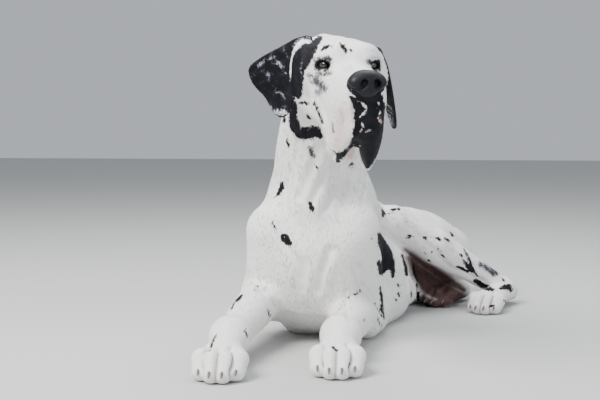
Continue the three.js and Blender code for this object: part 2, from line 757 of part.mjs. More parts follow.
const surface = (color, roughness) => new THREE.MeshStandardMaterial({ color, roughness, metalness: 0 });
const COAT = surface(0xe9e6e2, 0.7);
const EAR_SKIN = surface(0x35343a, 0.7);
const LEATHER = surface(0x1b1a1d, 0.45);
const EYE = surface(0x2a1c14, 0.1);
const HORN = surface(0x3a332e, 0.5);

function addNode(name, body, material = COAT) {
  const mesh = largest(body).getMesh();
  const geometry = new THREE.BufferGeometry();
  geometry.setAttribute("position", new THREE.BufferAttribute(new Float32Array(mesh.vertProperties), 3));
  geometry.setIndex(new THREE.BufferAttribute(new Uint32Array(mesh.triVerts), 1));
  const node = new THREE.Mesh(geometry, material);
  node.name = name;
  group.add(node);
}

// Parting planes: one behind the skull and the jaw, in the head's frame, and one at the root of the neck.
// Each is the face of a large box whose Y leans by degrees about X.
const NAPE = { middle: [0, 122, -30], lean: -17, frame: headTurn };
const NECK_ROOT = { middle: [0, -65, 340], lean: 114, frame: new THREE.Matrix4() };
const half = (plane, sign, gap = GAP) =>
  block(
    [0, sign * (500 + gap / 2), 0],
    [1400, 1000, 1400],
    plane.frame
      .clone()
      .multiply(new THREE.Matrix4().makeTranslation(...plane.middle))
      .multiply(new THREE.Matrix4().makeRotationX(THREE.MathUtils.degToRad(plane.lean))),
  );
const HEAD_FLOOR = 362;
const behindNape = inHead((u, v, w) => v - NAPE.middle[1] - (w - NAPE.middle[2]) * 0.3);

// The head and the body are meshed apart, each a little past the nape, and are then cut there.
const headMesh = formMesh(
  (x, y, z) => Math.max(bareSkin(x, y, z), behindNape(x, y, z) - 22),
  [-70, -570, 360],
  [240, -100, 650],
  5,
  3200,
);
const bodyMesh = formMesh(
  (x, y, z) => Math.max(bareSkin(x, y, z), -Math.max(behindNape(x, y, z) + 28, HEAD_FLOOR + 28 - z)),
  [-240, -570, -46],
  [530, 810, 640],
  12,
  4400,
);
const earMeshes = {
  left: formMesh(earLeft, [60, -360, 370], [270, -110, 670], 4, 340),
  right: formMesh(earRight, [-200, -360, 380], [100, -130, 690], 4, 340),
};

// Parting regions: where a limb's own form lies nearer than the rest of the body's.
function region(part, rest, low, high) {
  const step = 14;
  const edge = (q, k) => Math.max(low[k] + step - q, q - high[k] + step);
  const mesh = formMesh(
    (x, y, z) => Math.max(part(x, y, z) - rest(x, y, z), edge(x, 0), edge(y, 1), edge(z, 2)),
    low,
    high,
    step,
    150,
  );
  return mesh;
}

const nearest = (...forms) => (x, y, z) => Math.min(...forms.map((form) => form(x, y, z)));
const front = nearest(trunk, neck);
const regions = {
  foreleg_left: region(forelegLeft, front, [-4, -500, -60], [220, 90, 320]),
  foreleg_right: region(forelegRight, front, [-230, -570, -60], [4, 90, 320]),
  hindleg_left: region(hindlegLeft, nearest(trunk, hindlegRight, tail), [80, 200, -60], [540, 720, 290]),
  hindleg_right: region(hindlegRight, nearest(trunk, hindlegLeft, tail), [-70, 200, -60], [460, 720, 230]),
  tail: region(tail, nearest(trunk, hindlegRight, hindlegLeft), [-110, 560, -60], [340, 830, 180]),
};

const floor = block([0, 0, -500], [3000, 3000, 1000]);
const parts = {};
const headRoom = half(NAPE, -1, -GAP).intersect(block([0, 0, HEAD_FLOOR + 1000], [3000, 3000, 2000]));
let rest = solid(bodyMesh).subtract(headRoom).subtract(floor);
for (const [name, shape] of Object.entries(regions)) {
  parts[name] = largest(rest.intersect(solid(shape)));
  rest = clearOf(rest, shape);
}
parts.neck = rest.intersect(half(NECK_ROOT, 1));
parts.torso = rest.intersect(half(NECK_ROOT, -1));

// Head, with its nose leather, its eyes in their sockets, and its ears.
const NOSE_ROOM = [[-46, -230, -70], [46, -140, 18]];
const noseMesh = placed(formMesh(noseForm(), ...NOSE_ROOM, 3.4, 360), headTurn);
const pad = nosePad();
const noseSeat = placed(formMesh((x, y, z) => pad(x, y, z) - 3 * GAP, ...NOSE_ROOM, 3.4, 160), headTurn);
const eyeAt = (s) => onHead([(s * EYE_SPACING) / 2, 0, 0]);
const ball = (centre, r) => fromGeometry(new THREE.IcosahedronGeometry(r, 2).translate(...centre));
const nose = solid(noseMesh);
const bareHead = solid(headMesh)
  .intersect(half(NAPE, -1))
  .subtract(solid(noseSeat))
  .subtract(ball(eyeAt(1), EYE_RADIUS + GAP))
  .subtract(ball(eyeAt(-1), EYE_RADIUS + GAP));
addNode("head", bareHead);
addNode("nose", nose, LEATHER);
addNode("eye_left", ball(eyeAt(1), EYE_RADIUS), EYE);
addNode("eye_right", ball(eyeAt(-1), EYE_RADIUS), EYE);
addNode("ear_left", clearOf(solid(earMeshes.left), headMesh), EAR_SKIN);
addNode("ear_right", clearOf(solid(earMeshes.right), headMesh), EAR_SKIN);

// Claws: short blunt cones that leave each toe forward and down.
function claw(base, heading, drop, size, extra) {
  const down = THREE.MathUtils.degToRad(drop);
  const way = new THREE.Vector3(heading[0] * Math.cos(down), heading[1] * Math.cos(down), -Math.sin(down));
  const cone = new THREE.CylinderGeometry(size * 0.1 + extra, size * 0.27 + extra, size + 2 * extra, 8);
  const turn = new THREE.Quaternion().setFromUnitVectors(new THREE.Vector3(0, 1, 0), way);
  const middle = new THREE.Vector3(...base).addScaledVector(way, size * 0.2);
  return fromGeometry(cone.applyMatrix4(new THREE.Matrix4().compose(middle, turn, new THREE.Vector3(1, 1, 1))));
}

function clawsOf(legName, from, tips, width) {
  TOE_OFFSETS.forEach((_, i) => {
    const { along, r, tip } = toeLine(from, tips, width, i);
    const base = add(add(tip, scaled(along, r * 0.86)), [0, 0, r * 0.22]);
    parts[legName] = parts[legName].subtract(claw(base, along, 32, CLAW_LENGTH, GAP));
    addNode(`${legName}_claw_${i + 1}`, claw(base, along, 32, CLAW_LENGTH, 0), HORN);
  });
}

clawsOf("foreleg_left", LEFT.wrist, LEFT.toes, FORE_PAW_WIDTH);
clawsOf("foreleg_right", RIGHT.wrist, RIGHT.toes, FORE_PAW_WIDTH);
clawsOf("hindleg_left", instepOf(LEFT), LEFT.hindToes, HIND_PAW_WIDTH);
clawsOf("hindleg_right", instepOf(RIGHT), RIGHT.hindToes, HIND_PAW_WIDTH);

for (const [name, body] of Object.entries(parts)) addNode(name, body);

// The model stands in the middle of its own box, on the floor.
const extent = new THREE.Box3().setFromObject(group);
const middle = extent.getCenter(new THREE.Vector3());
for (const node of group.children) node.geometry.translate(-middle.x, -middle.y, -extent.min.z);
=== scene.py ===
# %% [markdown]
# This lesson dresses a lying great dane, life size, as a museum would show it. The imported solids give
# the body, and they come in as a fixed frame that nothing here moves. Over them goes one skin with the
# dog's folds, markings and short coat, then eyes, nose leather, claws and whiskers.

# %% Load the solids and keep their box
import math

import bpy
import numpy as np
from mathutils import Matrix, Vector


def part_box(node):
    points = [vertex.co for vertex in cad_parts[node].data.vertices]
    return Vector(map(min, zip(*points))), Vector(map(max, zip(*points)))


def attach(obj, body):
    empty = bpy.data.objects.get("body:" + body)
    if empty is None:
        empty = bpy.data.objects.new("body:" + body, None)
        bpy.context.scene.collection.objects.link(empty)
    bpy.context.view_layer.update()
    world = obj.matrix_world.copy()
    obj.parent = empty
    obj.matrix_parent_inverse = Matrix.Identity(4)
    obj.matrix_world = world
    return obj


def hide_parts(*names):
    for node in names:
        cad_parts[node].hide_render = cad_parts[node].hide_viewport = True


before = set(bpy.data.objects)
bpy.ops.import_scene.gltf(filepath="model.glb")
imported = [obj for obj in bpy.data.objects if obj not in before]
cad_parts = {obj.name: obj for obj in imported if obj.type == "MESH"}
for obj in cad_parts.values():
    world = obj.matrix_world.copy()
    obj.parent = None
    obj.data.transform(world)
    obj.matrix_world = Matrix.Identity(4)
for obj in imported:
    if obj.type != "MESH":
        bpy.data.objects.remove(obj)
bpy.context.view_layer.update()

# %% [markdown]
# A soft body is easiest to build as a field of distances: a function that says, for any point, how far
# it is from the surface. Bones and eggs are simple fields, and where two come close they can be melted
# together, as muscle and skin do on the real dog. Sculpting by hand would look alike, but a field can
# be read, changed by one number, and meshed as finely as each place needs. All sizes are millimetres
# in the dog's own frame: it faces -Y, its left side is +X, and it lies on the floor at Z = 0. In the
# formulas p is a list of points, d their distances, and s a side of the dog, 1 for left and -1 for right.


# %% Forms: bones, bent tubes and eggs
def unit(v):
    v = np.asarray(v, float)
    return v / np.maximum(np.linalg.norm(v, axis=-1, keepdims=True), 1e-9)


def mix(a, b, t):
    return (1 - t) * np.asarray(a, float) + t * np.asarray(b, float)


def bone(a, b, radius_a, radius_b):
    a = np.asarray(a, float)
    along = np.asarray(b, float) - a
    length_squared = along @ along

    def distance(p):
        q = p - a
        t = np.clip(q @ along / length_squared, 0, 1)
        return np.linalg.norm(q - t[:, None] * along, axis=1) - radius_a - t * (radius_b - radius_a)

    return distance


def curve(points, pieces, closed=False):
    """Places along a smooth curve through the points, with centripetal spacing."""
    points = np.asarray(points, float)
    count = len(points)
    made = []
    for step in range(pieces + 1):
        place = step / pieces * (count if closed else count - 1)
        i = min(int(place), count - 1 if closed else count - 2)
        t = place - i
        if closed:
            a, b, c, d = (points[(i + k) % count] for k in (-1, 0, 1, 2))
        else:
            b, c = points[i], points[i + 1]
            a = points[i - 1] if i else 2 * b - c
            d = points[i + 2] if i + 2 < count else 2 * c - b
        da, db, dc = (max(np.linalg.norm(v) ** 0.5, 1e-6) for v in (b - a, c - b, d - c))
        slope_b = ((b - a) / da - (c - a) / (da + db) + (c - b) / db) * db
        slope_c = ((c - b) / db - (d - b) / (db + dc) + (d - c) / dc) * db
        square, cube = t * t, t * t * t
        made.append(
            (2 * cube - 3 * square + 1) * b
            + (cube - 2 * square + t) * slope_b
            + (3 * square - 2 * cube) * c
            + (cube - square) * slope_c
        )
    return np.array(made)


def along_line(line, place):
    """Value and slope of a finely divided line at a fractional place on it."""
    i = np.clip(place.astype(int), 0, len(line) - 2)
    f = (place - i)[:, None]
    padded = np.vstack([2 * line[0] - line[1], line, 2 * line[-1] - line[-2]])
    a, b, c, d = (padded[i + k] for k in range(4))
    second = 2 * a - 5 * b + 4 * c - d
    third = 3 * b - 3 * c + d - a
    value = b + 0.5 * f * (c - a + f * (second + f * third))
    slope = 0.5 * (c - a + f * (2 * second + 3 * f * third))
    return value, slope


def tube(points, radii, pieces=60):
    line = curve(points, pieces)
    girth = curve([(r, 40 * i, 0) for i, r in enumerate(radii)], pieces)[:, :1]
    line_squared = (line**2).sum(1)

    def distance(p):
        place = (line_squared - 2 * p @ line.T).argmin(1).astype(float)
        for _ in range(3):
            middle, slope = along_line(line, place)
            step = ((p - middle) * slope).sum(1) / (slope**2).sum(1)
            place = np.clip(place + step, 0, pieces)
        middle, _ = along_line(line, place)
        radius, _ = along_line(girth, place)
        return np.linalg.norm(p - middle, axis=1) - radius[:, 0]

    return distance


def turned(degrees):
    """A turn about X, then Y, then Z, as a matrix."""
    (cx, cy, cz), (sx, sy, sz) = np.cos(np.radians(degrees)), np.sin(np.radians(degrees))
    about_x = np.array([[1, 0, 0], [0, cx, -sx], [0, sx, cx]])
    about_y = np.array([[cy, 0, sy], [0, 1, 0], [-sy, 0, cy]])
    about_z = np.array([[cz, -sz, 0], [sz, cz, 0], [0, 0, 1]])
    return about_z @ about_y @ about_x


def egg(centre, radii, turn=(0, 0, 0)):
    centre, radii = np.asarray(centre, float), np.asarray(radii, float)
    axes = turned(turn)

    def distance(p):
        q = (p - centre) @ axes
        near = np.linalg.norm(q / radii, axis=1)
        far = np.linalg.norm(q / radii**2, axis=1)
        return np.where(far < 1e-9, -radii.min(), near * (near - 1) / np.maximum(far, 1e-9))

    return distance


print("forms ready")


# %% Joining forms: melting, carving and keeping to a box
def lower(a, b, blend):
    h = np.maximum(blend - np.abs(a - b), 0) / blend
    return np.minimum(a, b) - h * h * blend * 0.25


def melt(blend, *forms):
    def distance(p):
        d = forms[0](p)
        for form in forms[1:]:
            d = lower(d, form(p), blend)
        return d

    return distance


def carve(blend, form, *cuts):
    def distance(p):
        d = form(p)
        for cut in cuts:
            d = -lower(-d, cut(p), blend)
        return d

    return distance


BOX_REACH = 70


def within(low, high, form):
    low, high = np.asarray(low, float), np.asarray(high, float)

    def distance(p):
        outside = np.maximum(np.maximum(low - p, p - high), 0)
        d = np.linalg.norm(outside, axis=1)
        near = d <= BOX_REACH
        if near.any():
            d[near] = form(p[near])
        return d

    return distance


def both(make):
    return [make(1), make(-1)]


print("joining ready, boxes reach", BOX_REACH, "mm")

# %% [markdown]
# The head matters most. A great dane's head is long and narrow, with a clear stop between the eyes, a
# deep square muzzle and heavy lips that hang below the jaw. It is built in its own frame, with the
# origin midway between the eyes, so that turning or dropping the head changes two numbers.

# %% The head's size, place and frame
HEAD_LENGTH = 375
SKULL_HALF_WIDTH = 78
EYE_RADIUS = 12.5
LID_RADIUS = 15.5
EYE_SPACING = 85
EAR_THICKNESS = 7
EYE_LINE = np.array([92.0, -328.0, 567.0])
HEAD_YAW = 16
HEAD_DROP = 5
SNOUT = 190 - HEAD_LENGTH
head_axes = turned((0, 0, HEAD_YAW)) @ turned((HEAD_DROP, 0, 0))


def on_head(p):
    return np.asarray(p, float) @ head_axes.T + EYE_LINE


def from_head(p):
    return (np.asarray(p, float) - EYE_LINE) @ head_axes


def in_head(form):
    return lambda p: form(from_head(p))


print("nose tip at", on_head([0, SNOUT, -22]).round(1))


# %% Skull, lips, jaw and eye openings
def lid_opening(s):
    return egg([s * (EYE_SPACING / 2 + 5.2), -13, -0.5], [12.6, 14, 5.7], [0, -s * 6, s * 22])


def head_form():
    w = SKULL_HALF_WIDTH
    skull = melt(
        22,
        egg([0, 80, -4], [w - 6, 105, 54]),
        egg([0, 25, -6], [w - 12, 62, 52]),
        *both(lambda s: egg([s * (w - 22), 60, -26], [27, 58, 38])),
        *both(lambda s: egg([s * (w - 26), 98, -52], [25, 46, 50])),
        *both(lambda s: bone([s * 27, -7, 20], [s * 45, 18, 20], 15, 14)),
        egg([0, 135, 16], [34, 48, 36]),
        egg([-74, 50, -2], [25, 44, 46]),
        egg([-60, 84, -40], [28, 46, 48]),
        bone([-30, 118, 42], [-50, 92, 36], 14, 14),
    )
    lips = melt(
        18,
        bone([0, -18, -20], [0, SNOUT + 12, -26], 27, 23),
        *both(lambda s: bone([s * 16, -15, -24], [s * 13, SNOUT + 18, -28], 23, 20)),
        *both(lambda s: bone([s * 36, 6, -36], [s * 16, SNOUT + 24, -46], 28, 21)),
        *both(lambda s: bone([s * 38, 2, -66], [s * 17, SNOUT + 30, -64], 24, 20)),
        *both(lambda s: egg([s * 21, -118, -84], [21, 56, 54], [-14, 0, -s * 6])),
        egg([0, -130, -86], [28, 44, 44]),
        egg([-28, -92, -108], [18, 60, 52], [-20, 0, 10]),
        egg([-32, -82, -135], [12, 50, 38], [-16, 0, 12]),
        egg([24, -98, -110], [22, 58, 54], [-20, 0, -8]),
        egg([24, -88, -142], [13, 46, 45], [-16, 0, -8]),
        *both(lambda s: bone([s * 36, -44, -102], [s * 42, 10, -72], 18, 24)),
    )
    parted = carve(8, lips, egg([-13, SNOUT + 24, -170], [13, 62, 46], [-12, 0, 0]))
    jaw = melt(
        20,
        bone([0, -118, -120], [0, -40, -112], 19, 32),
        *both(lambda s: bone([s * 22, -80, -112], [s * 46, 74, -74], 22, 28)),
        egg([0, 20, -90], [48, 66, 30]),
    )
    solid = melt(18, skull, melt(10, parted, jaw))
    lids = both(lambda s: egg([s * EYE_SPACING / 2, 0, 0], [LID_RADIUS, LID_RADIUS, LID_RADIUS - 1.5]))
    return carve(4, melt(9, solid, *lids), *both(lid_opening))


def nose_pad():
    return melt(8, egg([0, SNOUT + 4, -22], [33, 20, 21.5]), egg([0, SNOUT + 4, -40], [21, 17, 16]))


head = in_head(within([-110, -205, -195], [90, 195, 70], head_form()))
print("head ready", head(on_head([[0, 0, 0], [0, SNOUT, -22]])).round(1))

# %% [markdown]
# An ear is a thin leaf. Its outline is a ring of points on a plane and its bow is a height over that
# plane. The right ear is thrown out from the head and faces forward, and the left one hangs.


# %% Ear flaps
def flap(origin, outward, up, ring, bow):
    outward, up = np.asarray(outward, float), np.asarray(up, float)
    front = unit(np.cross(outward, up))

    def distance(p):
        q = p - np.asarray(origin, float)
        u, v = q @ outward, q @ up
        nearest = np.full(len(p), 1e6)
        inside = np.zeros(len(p), bool)
        for (ax, ay), (bx, by) in zip(np.roll(ring, 1, 0), ring):
            ex, ey = bx - ax, by - ay
            t = np.clip(((u - ax) * ex + (v - ay) * ey) / (ex * ex + ey * ey), 0, 1)
            nearest = np.minimum(nearest, np.hypot(u - ax - t * ex, v - ay - t * ey))
            crossed = (ay > v) != (by > v)
            inside ^= crossed & (u < ex * (v - ay) / (ey if ey else 1e-9) + ax)
        rim = np.where(inside, -nearest, nearest) + EAR_THICKNESS / 2
        lift = (q @ front - bow(u, v)) * 0.8
        return np.hypot(np.maximum(rim, 0), lift) - EAR_THICKNESS / 2

    return distance


def ring_of(corners):
    return curve([(u, v, 0) for u, v in corners], 34, closed=True)[1:, :2]


RIGHT_EAR = ring_of([
    (-8, 20), (24, 17), (58, 0), (98, -22), (121, -44), (114, -74), (92, -100), (76, -128), (58, -139),
    (42, -128), (34, -100), (30, -60), (20, -32), (-4, -40),
])
LEFT_EAR = ring_of([
    (-34, -6), (24, -4), (48, -36), (46, -84), (28, -128), (8, -156), (-12, -144), (-34, -98), (-44, -38),
])
EAR_BACK = math.sin(math.radians(24))


def right_bow(u, v):
    return 12 * np.sin(u / 38) - 7 * np.cos(v / 36)


def left_bow(u, v):
    return 6 + 15 * (1 - np.exp(np.minimum(0, v + 2) / 26)) - 0.16 * v - u * u / 220


ear_right_form = melt(
    12,
    flap([-64, 62, 32], [-math.sqrt(1 - EAR_BACK**2), EAR_BACK, 0], [0, 0, 1], RIGHT_EAR, right_bow),
    bone([-52, 72, 24], [-84, 68, 34], 18, 8),
    bone([-60, 84, 10], [-78, 76, -4], 16, 10),
)
ear_left_form = melt(
    12,
    flap([62, 66, 30], [0, 1, 0], [0, 0, 1], LEFT_EAR, left_bow),
    bone([50, 74, 14], [68, 68, 22], 16, 9),
    bone([58, 86, 0], [70, 74, 2], 14, 9),
)
ear_left = in_head(within([50, 10, -130], [130, 130, 60], ear_left_form))
ear_right = in_head(within([-190, 40, -115], [-50, 130, 60], ear_right_form))
print("ears ready, rings of", len(RIGHT_EAR), "and", len(LEFT_EAR), "points")

# %% [markdown]
# The body lies upright on its brisket at the front, and its rump has rolled on to the right hip. The
# joints below are the skeleton's, and every limb is hung between them.

# %% Joints of the skeleton
FOREARM_RADIUS = 47
WRIST_RADIUS = 37
FORE_PAW_WIDTH = 96
HIND_PAW_WIDTH = 84
TAIL_RADII = (30, 9)
LEFT = dict(
    shoulder=(90, -118, 236), elbow=(93, 5, 60), elbow_rest=(104, -46, 33), wrist=(76, -288, 52),
    toes=(84, -460, 0), ankle=(416, 446, 41), heel=(431, 474, 30), hind_toes=(351, 271, 0),
    thigh=(
        (143, 286, 222), (166, 345, 196), (188, 400, 168), (214, 446, 150), (243, 495, 124), (256, 545, 112),
    ),
    thigh_radii=(39, 62, 80, 83, 83, 84),
)
RIGHT = dict(
    shoulder=(-91, -122, 232), elbow=(-105, -74, 98), elbow_rest=(-108, -96, 84), wrist=(-132, -335, 52),
    toes=(-121, -520, 0), ankle=(292, 474, 36), heel=(312, 503, 28), hind_toes=(228, 362, 0),
    thigh=((52, 332, 62), (90, 410, 74), (128, 500, 84), (165, 572, 84)),
    thigh_radii=(50, 72, 84, 84),
)
TAIL = [(225, 625, 105), (243, 690, 62), (212, 742, 30), (130, 772, 22), (40, 765, 17), (-45, 725, 12)]
LEFT = {name: np.array(place, float) for name, place in LEFT.items()}
RIGHT = {name: np.array(place, float) for name, place in RIGHT.items()}
print("forearm", round(float(np.linalg.norm(LEFT["elbow"] - LEFT["wrist"]))), "mm")

# %% Neck and trunk
TRUNK = dict(
    y=(-140, -110, -60, 10, 80, 180, 300, 420, 520, 580, 625, 652),
    across=(3, 3, 3, 4, 8, 16, 45, 112, 168, 196, 206, 212),
    half=(78, 96, 108, 115, 120, 124, 114, 100, 90, 72, 50, 20),
    low=(72, 46, 16, -12, -20, -22, -22, -16, -10, 4, 24, 66),
    high=(296, 322, 352, 388, 384, 350, 298, 244, 228, 192, 156, 110),
)


def between(stations, name, y):
    """A smooth value between stations, by a cubic through four of them."""
    at, value = np.array(stations["y"], float), np.array(stations[name], float)
    left, right = np.maximum(np.arange(len(at)) - 1, 0), np.minimum(np.arange(len(at)) + 1, len(at) - 1)
    slope = (value[right] - value[left]) / (at[right] - at[left])
    i = np.clip(np.searchsorted(at, y, side="left") - 1, 0, len(at) - 2)
    span = at[i + 1] - at[i]
    t = np.clip((y - at[i]) / span, 0, 1)
    square, cube = t * t, t * t * t
    return (
        (2 * cube - 3 * square + 1) * value[i]
        + (cube - 2 * square + t) * slope[i] * span
        + (3 * square - 2 * cube) * value[i + 1]
        + (cube - square) * slope[i + 1] * span
    )


def sections(stations):
    def distance(p):
        x, y, z = p.T
        at = np.clip(y, stations["y"][0], stations["y"][-1])
        half, low, high = (between(stations, name, at) for name in ("half", "low", "high"))
        tall = (high - low) / 2
        u = x - between(stations, "across", at)
        w = z - (high + low) / 2
        sag = np.clip(-w / tall, 0, 1)
        n = 2 + 1.6 * sag * (2 - sag)
        a, b = np.abs(u) / half + 1e-9, np.abs(w) / tall + 1e-9
        near = (a**n + b**n) ** (1 / n)
        slope = np.hypot(a ** (n - 1) / half, b ** (n - 1) / tall) * near ** (1 - n)
        side = np.where(near < 1e-3, -half, (near - 1) / slope)
        past = np.abs(y - at)
        return np.where(past > 0, np.hypot(np.maximum(side, 0), past), side)

    return distance


NECK_LINE = [(2, 10, 280), (2, -50, 352), (7, -98, 420), (28, -150, 500), (50, -180, 540)]
NECK_RADII = [112, 97, 85, 78, 70]
neck_form = melt(
    30,
    tube(NECK_LINE, NECK_RADII),
    bone([14, -140, 300], [30, -196, 440], 26, 18),
    bone([-16, -138, 300], [10, -190, 440], 24, 16),
)
trunk_form = melt(
    36,
    sections(TRUNK),
    egg([3, -112, 178], [88, 72, 118]),
    egg([206, 585, 98], [74, 82, 86], [0, 0, -20]),
    bone([-34, 30, 345], [-16, 70, 340], 34, 34),
    bone([38, 30, 345], [20, 70, 340], 34, 34),
    *both(lambda s: bone([s * 40, -122, 190], [s * 46, -98, 118], 50, 46)),
    bone([86, 90, 58], [124, 200, 62], 58, 58),
    bone([124, 200, 62], [160, 298, 58], 58, 46),
    bone([112, 150, 130], [150, 280, 122], 46, 40),
    bone([105, 20, 32], [130, 210, 32], 34, 32),
)
neck = within([-120, -260, 170], [150, 130, 620], neck_form)
trunk = within([-160, -190, 0], [330, 660, 400], trunk_form)
print("trunk ready,", len(TRUNK["y"]), "sections")

# %% Paws: four toes side by side over their pads
TOE_OFFSETS = (-0.35, -0.118, 0.118, 0.35)
TOE_SETBACK = (22, 2, 2, 22)


def toe_line(start, tips, width, i):
    along = unit([tips[0] - start[0], tips[1] - start[1], 0])
    across = np.array([-along[1], along[0], 0])
    tip = tips + across * TOE_OFFSETS[i] * width - along * TOE_SETBACK[i]
    r = width * 0.174

    def back(far, high):
        return np.array([tip[0], tip[1], high]) - along * far

    return dict(
        along=along,
        across=across,
        r=r,
        tip=back(r, r * 0.98),
        knuckle=back(r * 2.3, r * 2.15),
        root=back(width * 0.8, r * 2) - across * TOE_OFFSETS[i] * width * 0.3,
    )


def paw_form(start, tips, width, root_radius):
    toes = []
    for i in range(4):
        toe = toe_line(start, tips, width, i)
        r = toe["r"]
        toe_back = bone(toe["root"], toe["knuckle"], r * 1.15, r * 1.1)
        toes.append(melt(8, toe_back, bone(toe["knuckle"], toe["tip"], r * 1.1, r * 0.95)))
    middle = toe_line(start, tips, width, 1)
    along, r = middle["along"], middle["r"]
    flat_tips = np.array([tips[0], tips[1], 0])

    def behind(share, high):
        return flat_tips - along * width * share + np.array([0, 0, high])

    return melt(
        14,
        bone(start, behind(0.95, r * 1.9), root_radius, r * 2),
        egg(behind(0.55, 17), [width * 0.4, width * 0.42, 20]),
        egg(behind(0.56, r * 1.75), [width * 0.4, width * 0.27, r * 1.2]),
        melt(6, *toes),
    )


print("toes", round(FORE_PAW_WIDTH * 0.348), "mm thick on the forepaws")


# %% Legs and tail
def foreleg_form(j):
    side = np.sign(j["shoulder"][0])
    shoulder, elbow, wrist = j["shoulder"], j["elbow"], j["wrist"]
    arm = melt(
        34,
        bone(shoulder, elbow, 47, 47),
        bone(shoulder + [0, 60, 0], elbow + [0, 24, 14], 42, 38),
        bone(shoulder + [-side * 44, 110, 96], shoulder + [-side * 6, 10, 16], 32, 42),
        bone(elbow + [side * 4, 0, -14], j["elbow_rest"], 40, 35),
    )
    middle = mix(elbow, wrist, 0.5)
    forearm = melt(
        16,
        tube(
            [elbow, middle, mix(elbow, wrist, 0.82), wrist],
            [FOREARM_RADIUS, FOREARM_RADIUS - 5, WRIST_RADIUS - 2, WRIST_RADIUS],
        ),
        bone(elbow + [0, 34, -12], middle, 24, 22),
    )
    return melt(22, arm, forearm, paw_form(wrist, j["toes"], FORE_PAW_WIDTH, WRIST_RADIUS - 1))


def instep_of(j):
    return mix(j["heel"], j["hind_toes"], 0.52) + [0, 0, 28 - j["heel"][2] * 0.48]


PAWS = dict(
    foreleg_left=(LEFT["wrist"], LEFT["toes"], FORE_PAW_WIDTH),
    foreleg_right=(RIGHT["wrist"], RIGHT["toes"], FORE_PAW_WIDTH),
    hindleg_left=(instep_of(LEFT), LEFT["hind_toes"], HIND_PAW_WIDTH),
    hindleg_right=(instep_of(RIGHT), RIGHT["hind_toes"], HIND_PAW_WIDTH),
)


def shank_form(j, lie):
    knee, ankle, heel = j["thigh"][0], j["ankle"], j["heel"]
    calf = mix(knee, ankle, 0.35)
    shank = melt(
        16,
        bone(knee, calf, 39, 44),
        bone(calf, ankle, 44, 26),
        bone(calf + [0, 14, lie * 8], heel, 30, 16),
        bone(ankle, heel, 26, 18),
    )
    ball = instep_of(j)
    return melt(
        12,
        shank,
        bone(ankle, ball, 25, 26),
        bone(heel, ball, 20, 22),
        paw_form(ball, j["hind_toes"], HIND_PAW_WIDTH, 27),
    )


foreleg_left = within([20, -470, 0], [180, 80, 330], foreleg_form(LEFT))
foreleg_right = within([-190, -530, 0], [-30, 60, 330], foreleg_form(RIGHT))
thigh_left = within([90, 230, 0], [370, 660, 280], tube(LEFT["thigh"], LEFT["thigh_radii"]))
thigh_right = within([-20, 240, -60], [330, 700, 200], tube(RIGHT["thigh"], RIGHT["thigh_radii"]))
shank_left = within([90, 230, 0], [490, 500, 270], shank_form(LEFT, 1))
shank_right = within([-20, 260, -20], [380, 600, 130], shank_form(RIGHT, -1))
tail = within([-60, 590, 0], [280, 810, 140], tube(TAIL, np.linspace(*TAIL_RADII, len(TAIL))))
PARTS = dict(
    head=head, ear_left=ear_left, ear_right=ear_right, neck=neck, trunk=trunk,
    foreleg_left=foreleg_left, foreleg_right=foreleg_right, thigh_left=thigh_left, thigh_right=thigh_right,
    shank_left=shank_left, shank_right=shank_right, tail=tail,
)
print("the body has", len(PARTS), "parts")


# %% The whole body as one field
def bare_skin(p):
    d = lower(trunk(p), neck(p), 60)
    for limb, blend in (
        (foreleg_left, 34), (foreleg_right, 34), (thigh_left, 24), (thigh_right, 36),
        (shank_left, 12), (shank_right, 12), (tail, 20), (head, 26),
    ):
        d = lower(d, limb(p), blend)
    return d


COAT_DEPTH = 1.3
EAR_COAT_DEPTH = 0.5


def skin_field(p):
    ears = lower(ear_left(p), ear_right(p), 10) + EAR_COAT_DEPTH
    return np.maximum(lower(bare_skin(p) + COAT_DEPTH, ears, 10), -p[:, 2])


def rough_field(p):
    """The same, with the ears made thick enough for cubes of a few millimetres to find."""
    return np.minimum(skin_field(p), np.minimum(ear_left(p), ear_right(p)) - 2.5)


def in_chunks(field, p, size=60000):
    return np.concatenate([field(p[i:i + size]) for i in range(0, len(p), size)])


print("skin lies", COAT_DEPTH, "mm under the solids' surface")

# %% [markdown]
# To mesh the field, space is cut into cubes. Only cubes near the surface are kept, each is halved a few
# times, and the last ones get one point each, joined across every cube edge that the surface crosses.
# Blender's metaballs or a voxel remesh would do this too, but here each point can slide exactly on to
# the skin afterwards, and long edges are split only where the face, ears and paws need finer ones.


# %% Cubes near the surface, and one point in each
def cubes_near(field, low, high, step, halvings):
    size = step * 2**halvings
    cubes = np.indices(np.ceil((high - low) / size).astype(int)).reshape(3, -1).T
    eighths = np.indices((2, 2, 2)).reshape(3, -1).T
    for level in range(halvings, -1, -1):
        size = step * 2**level
        d = in_chunks(field, low + (cubes + 0.5) * size)
        cubes = cubes[np.abs(d) < size * 1.3 + 1]
        if level:
            cubes = (cubes[:, None, :] * 2 + eighths[None]).reshape(-1, 3)
    return cubes


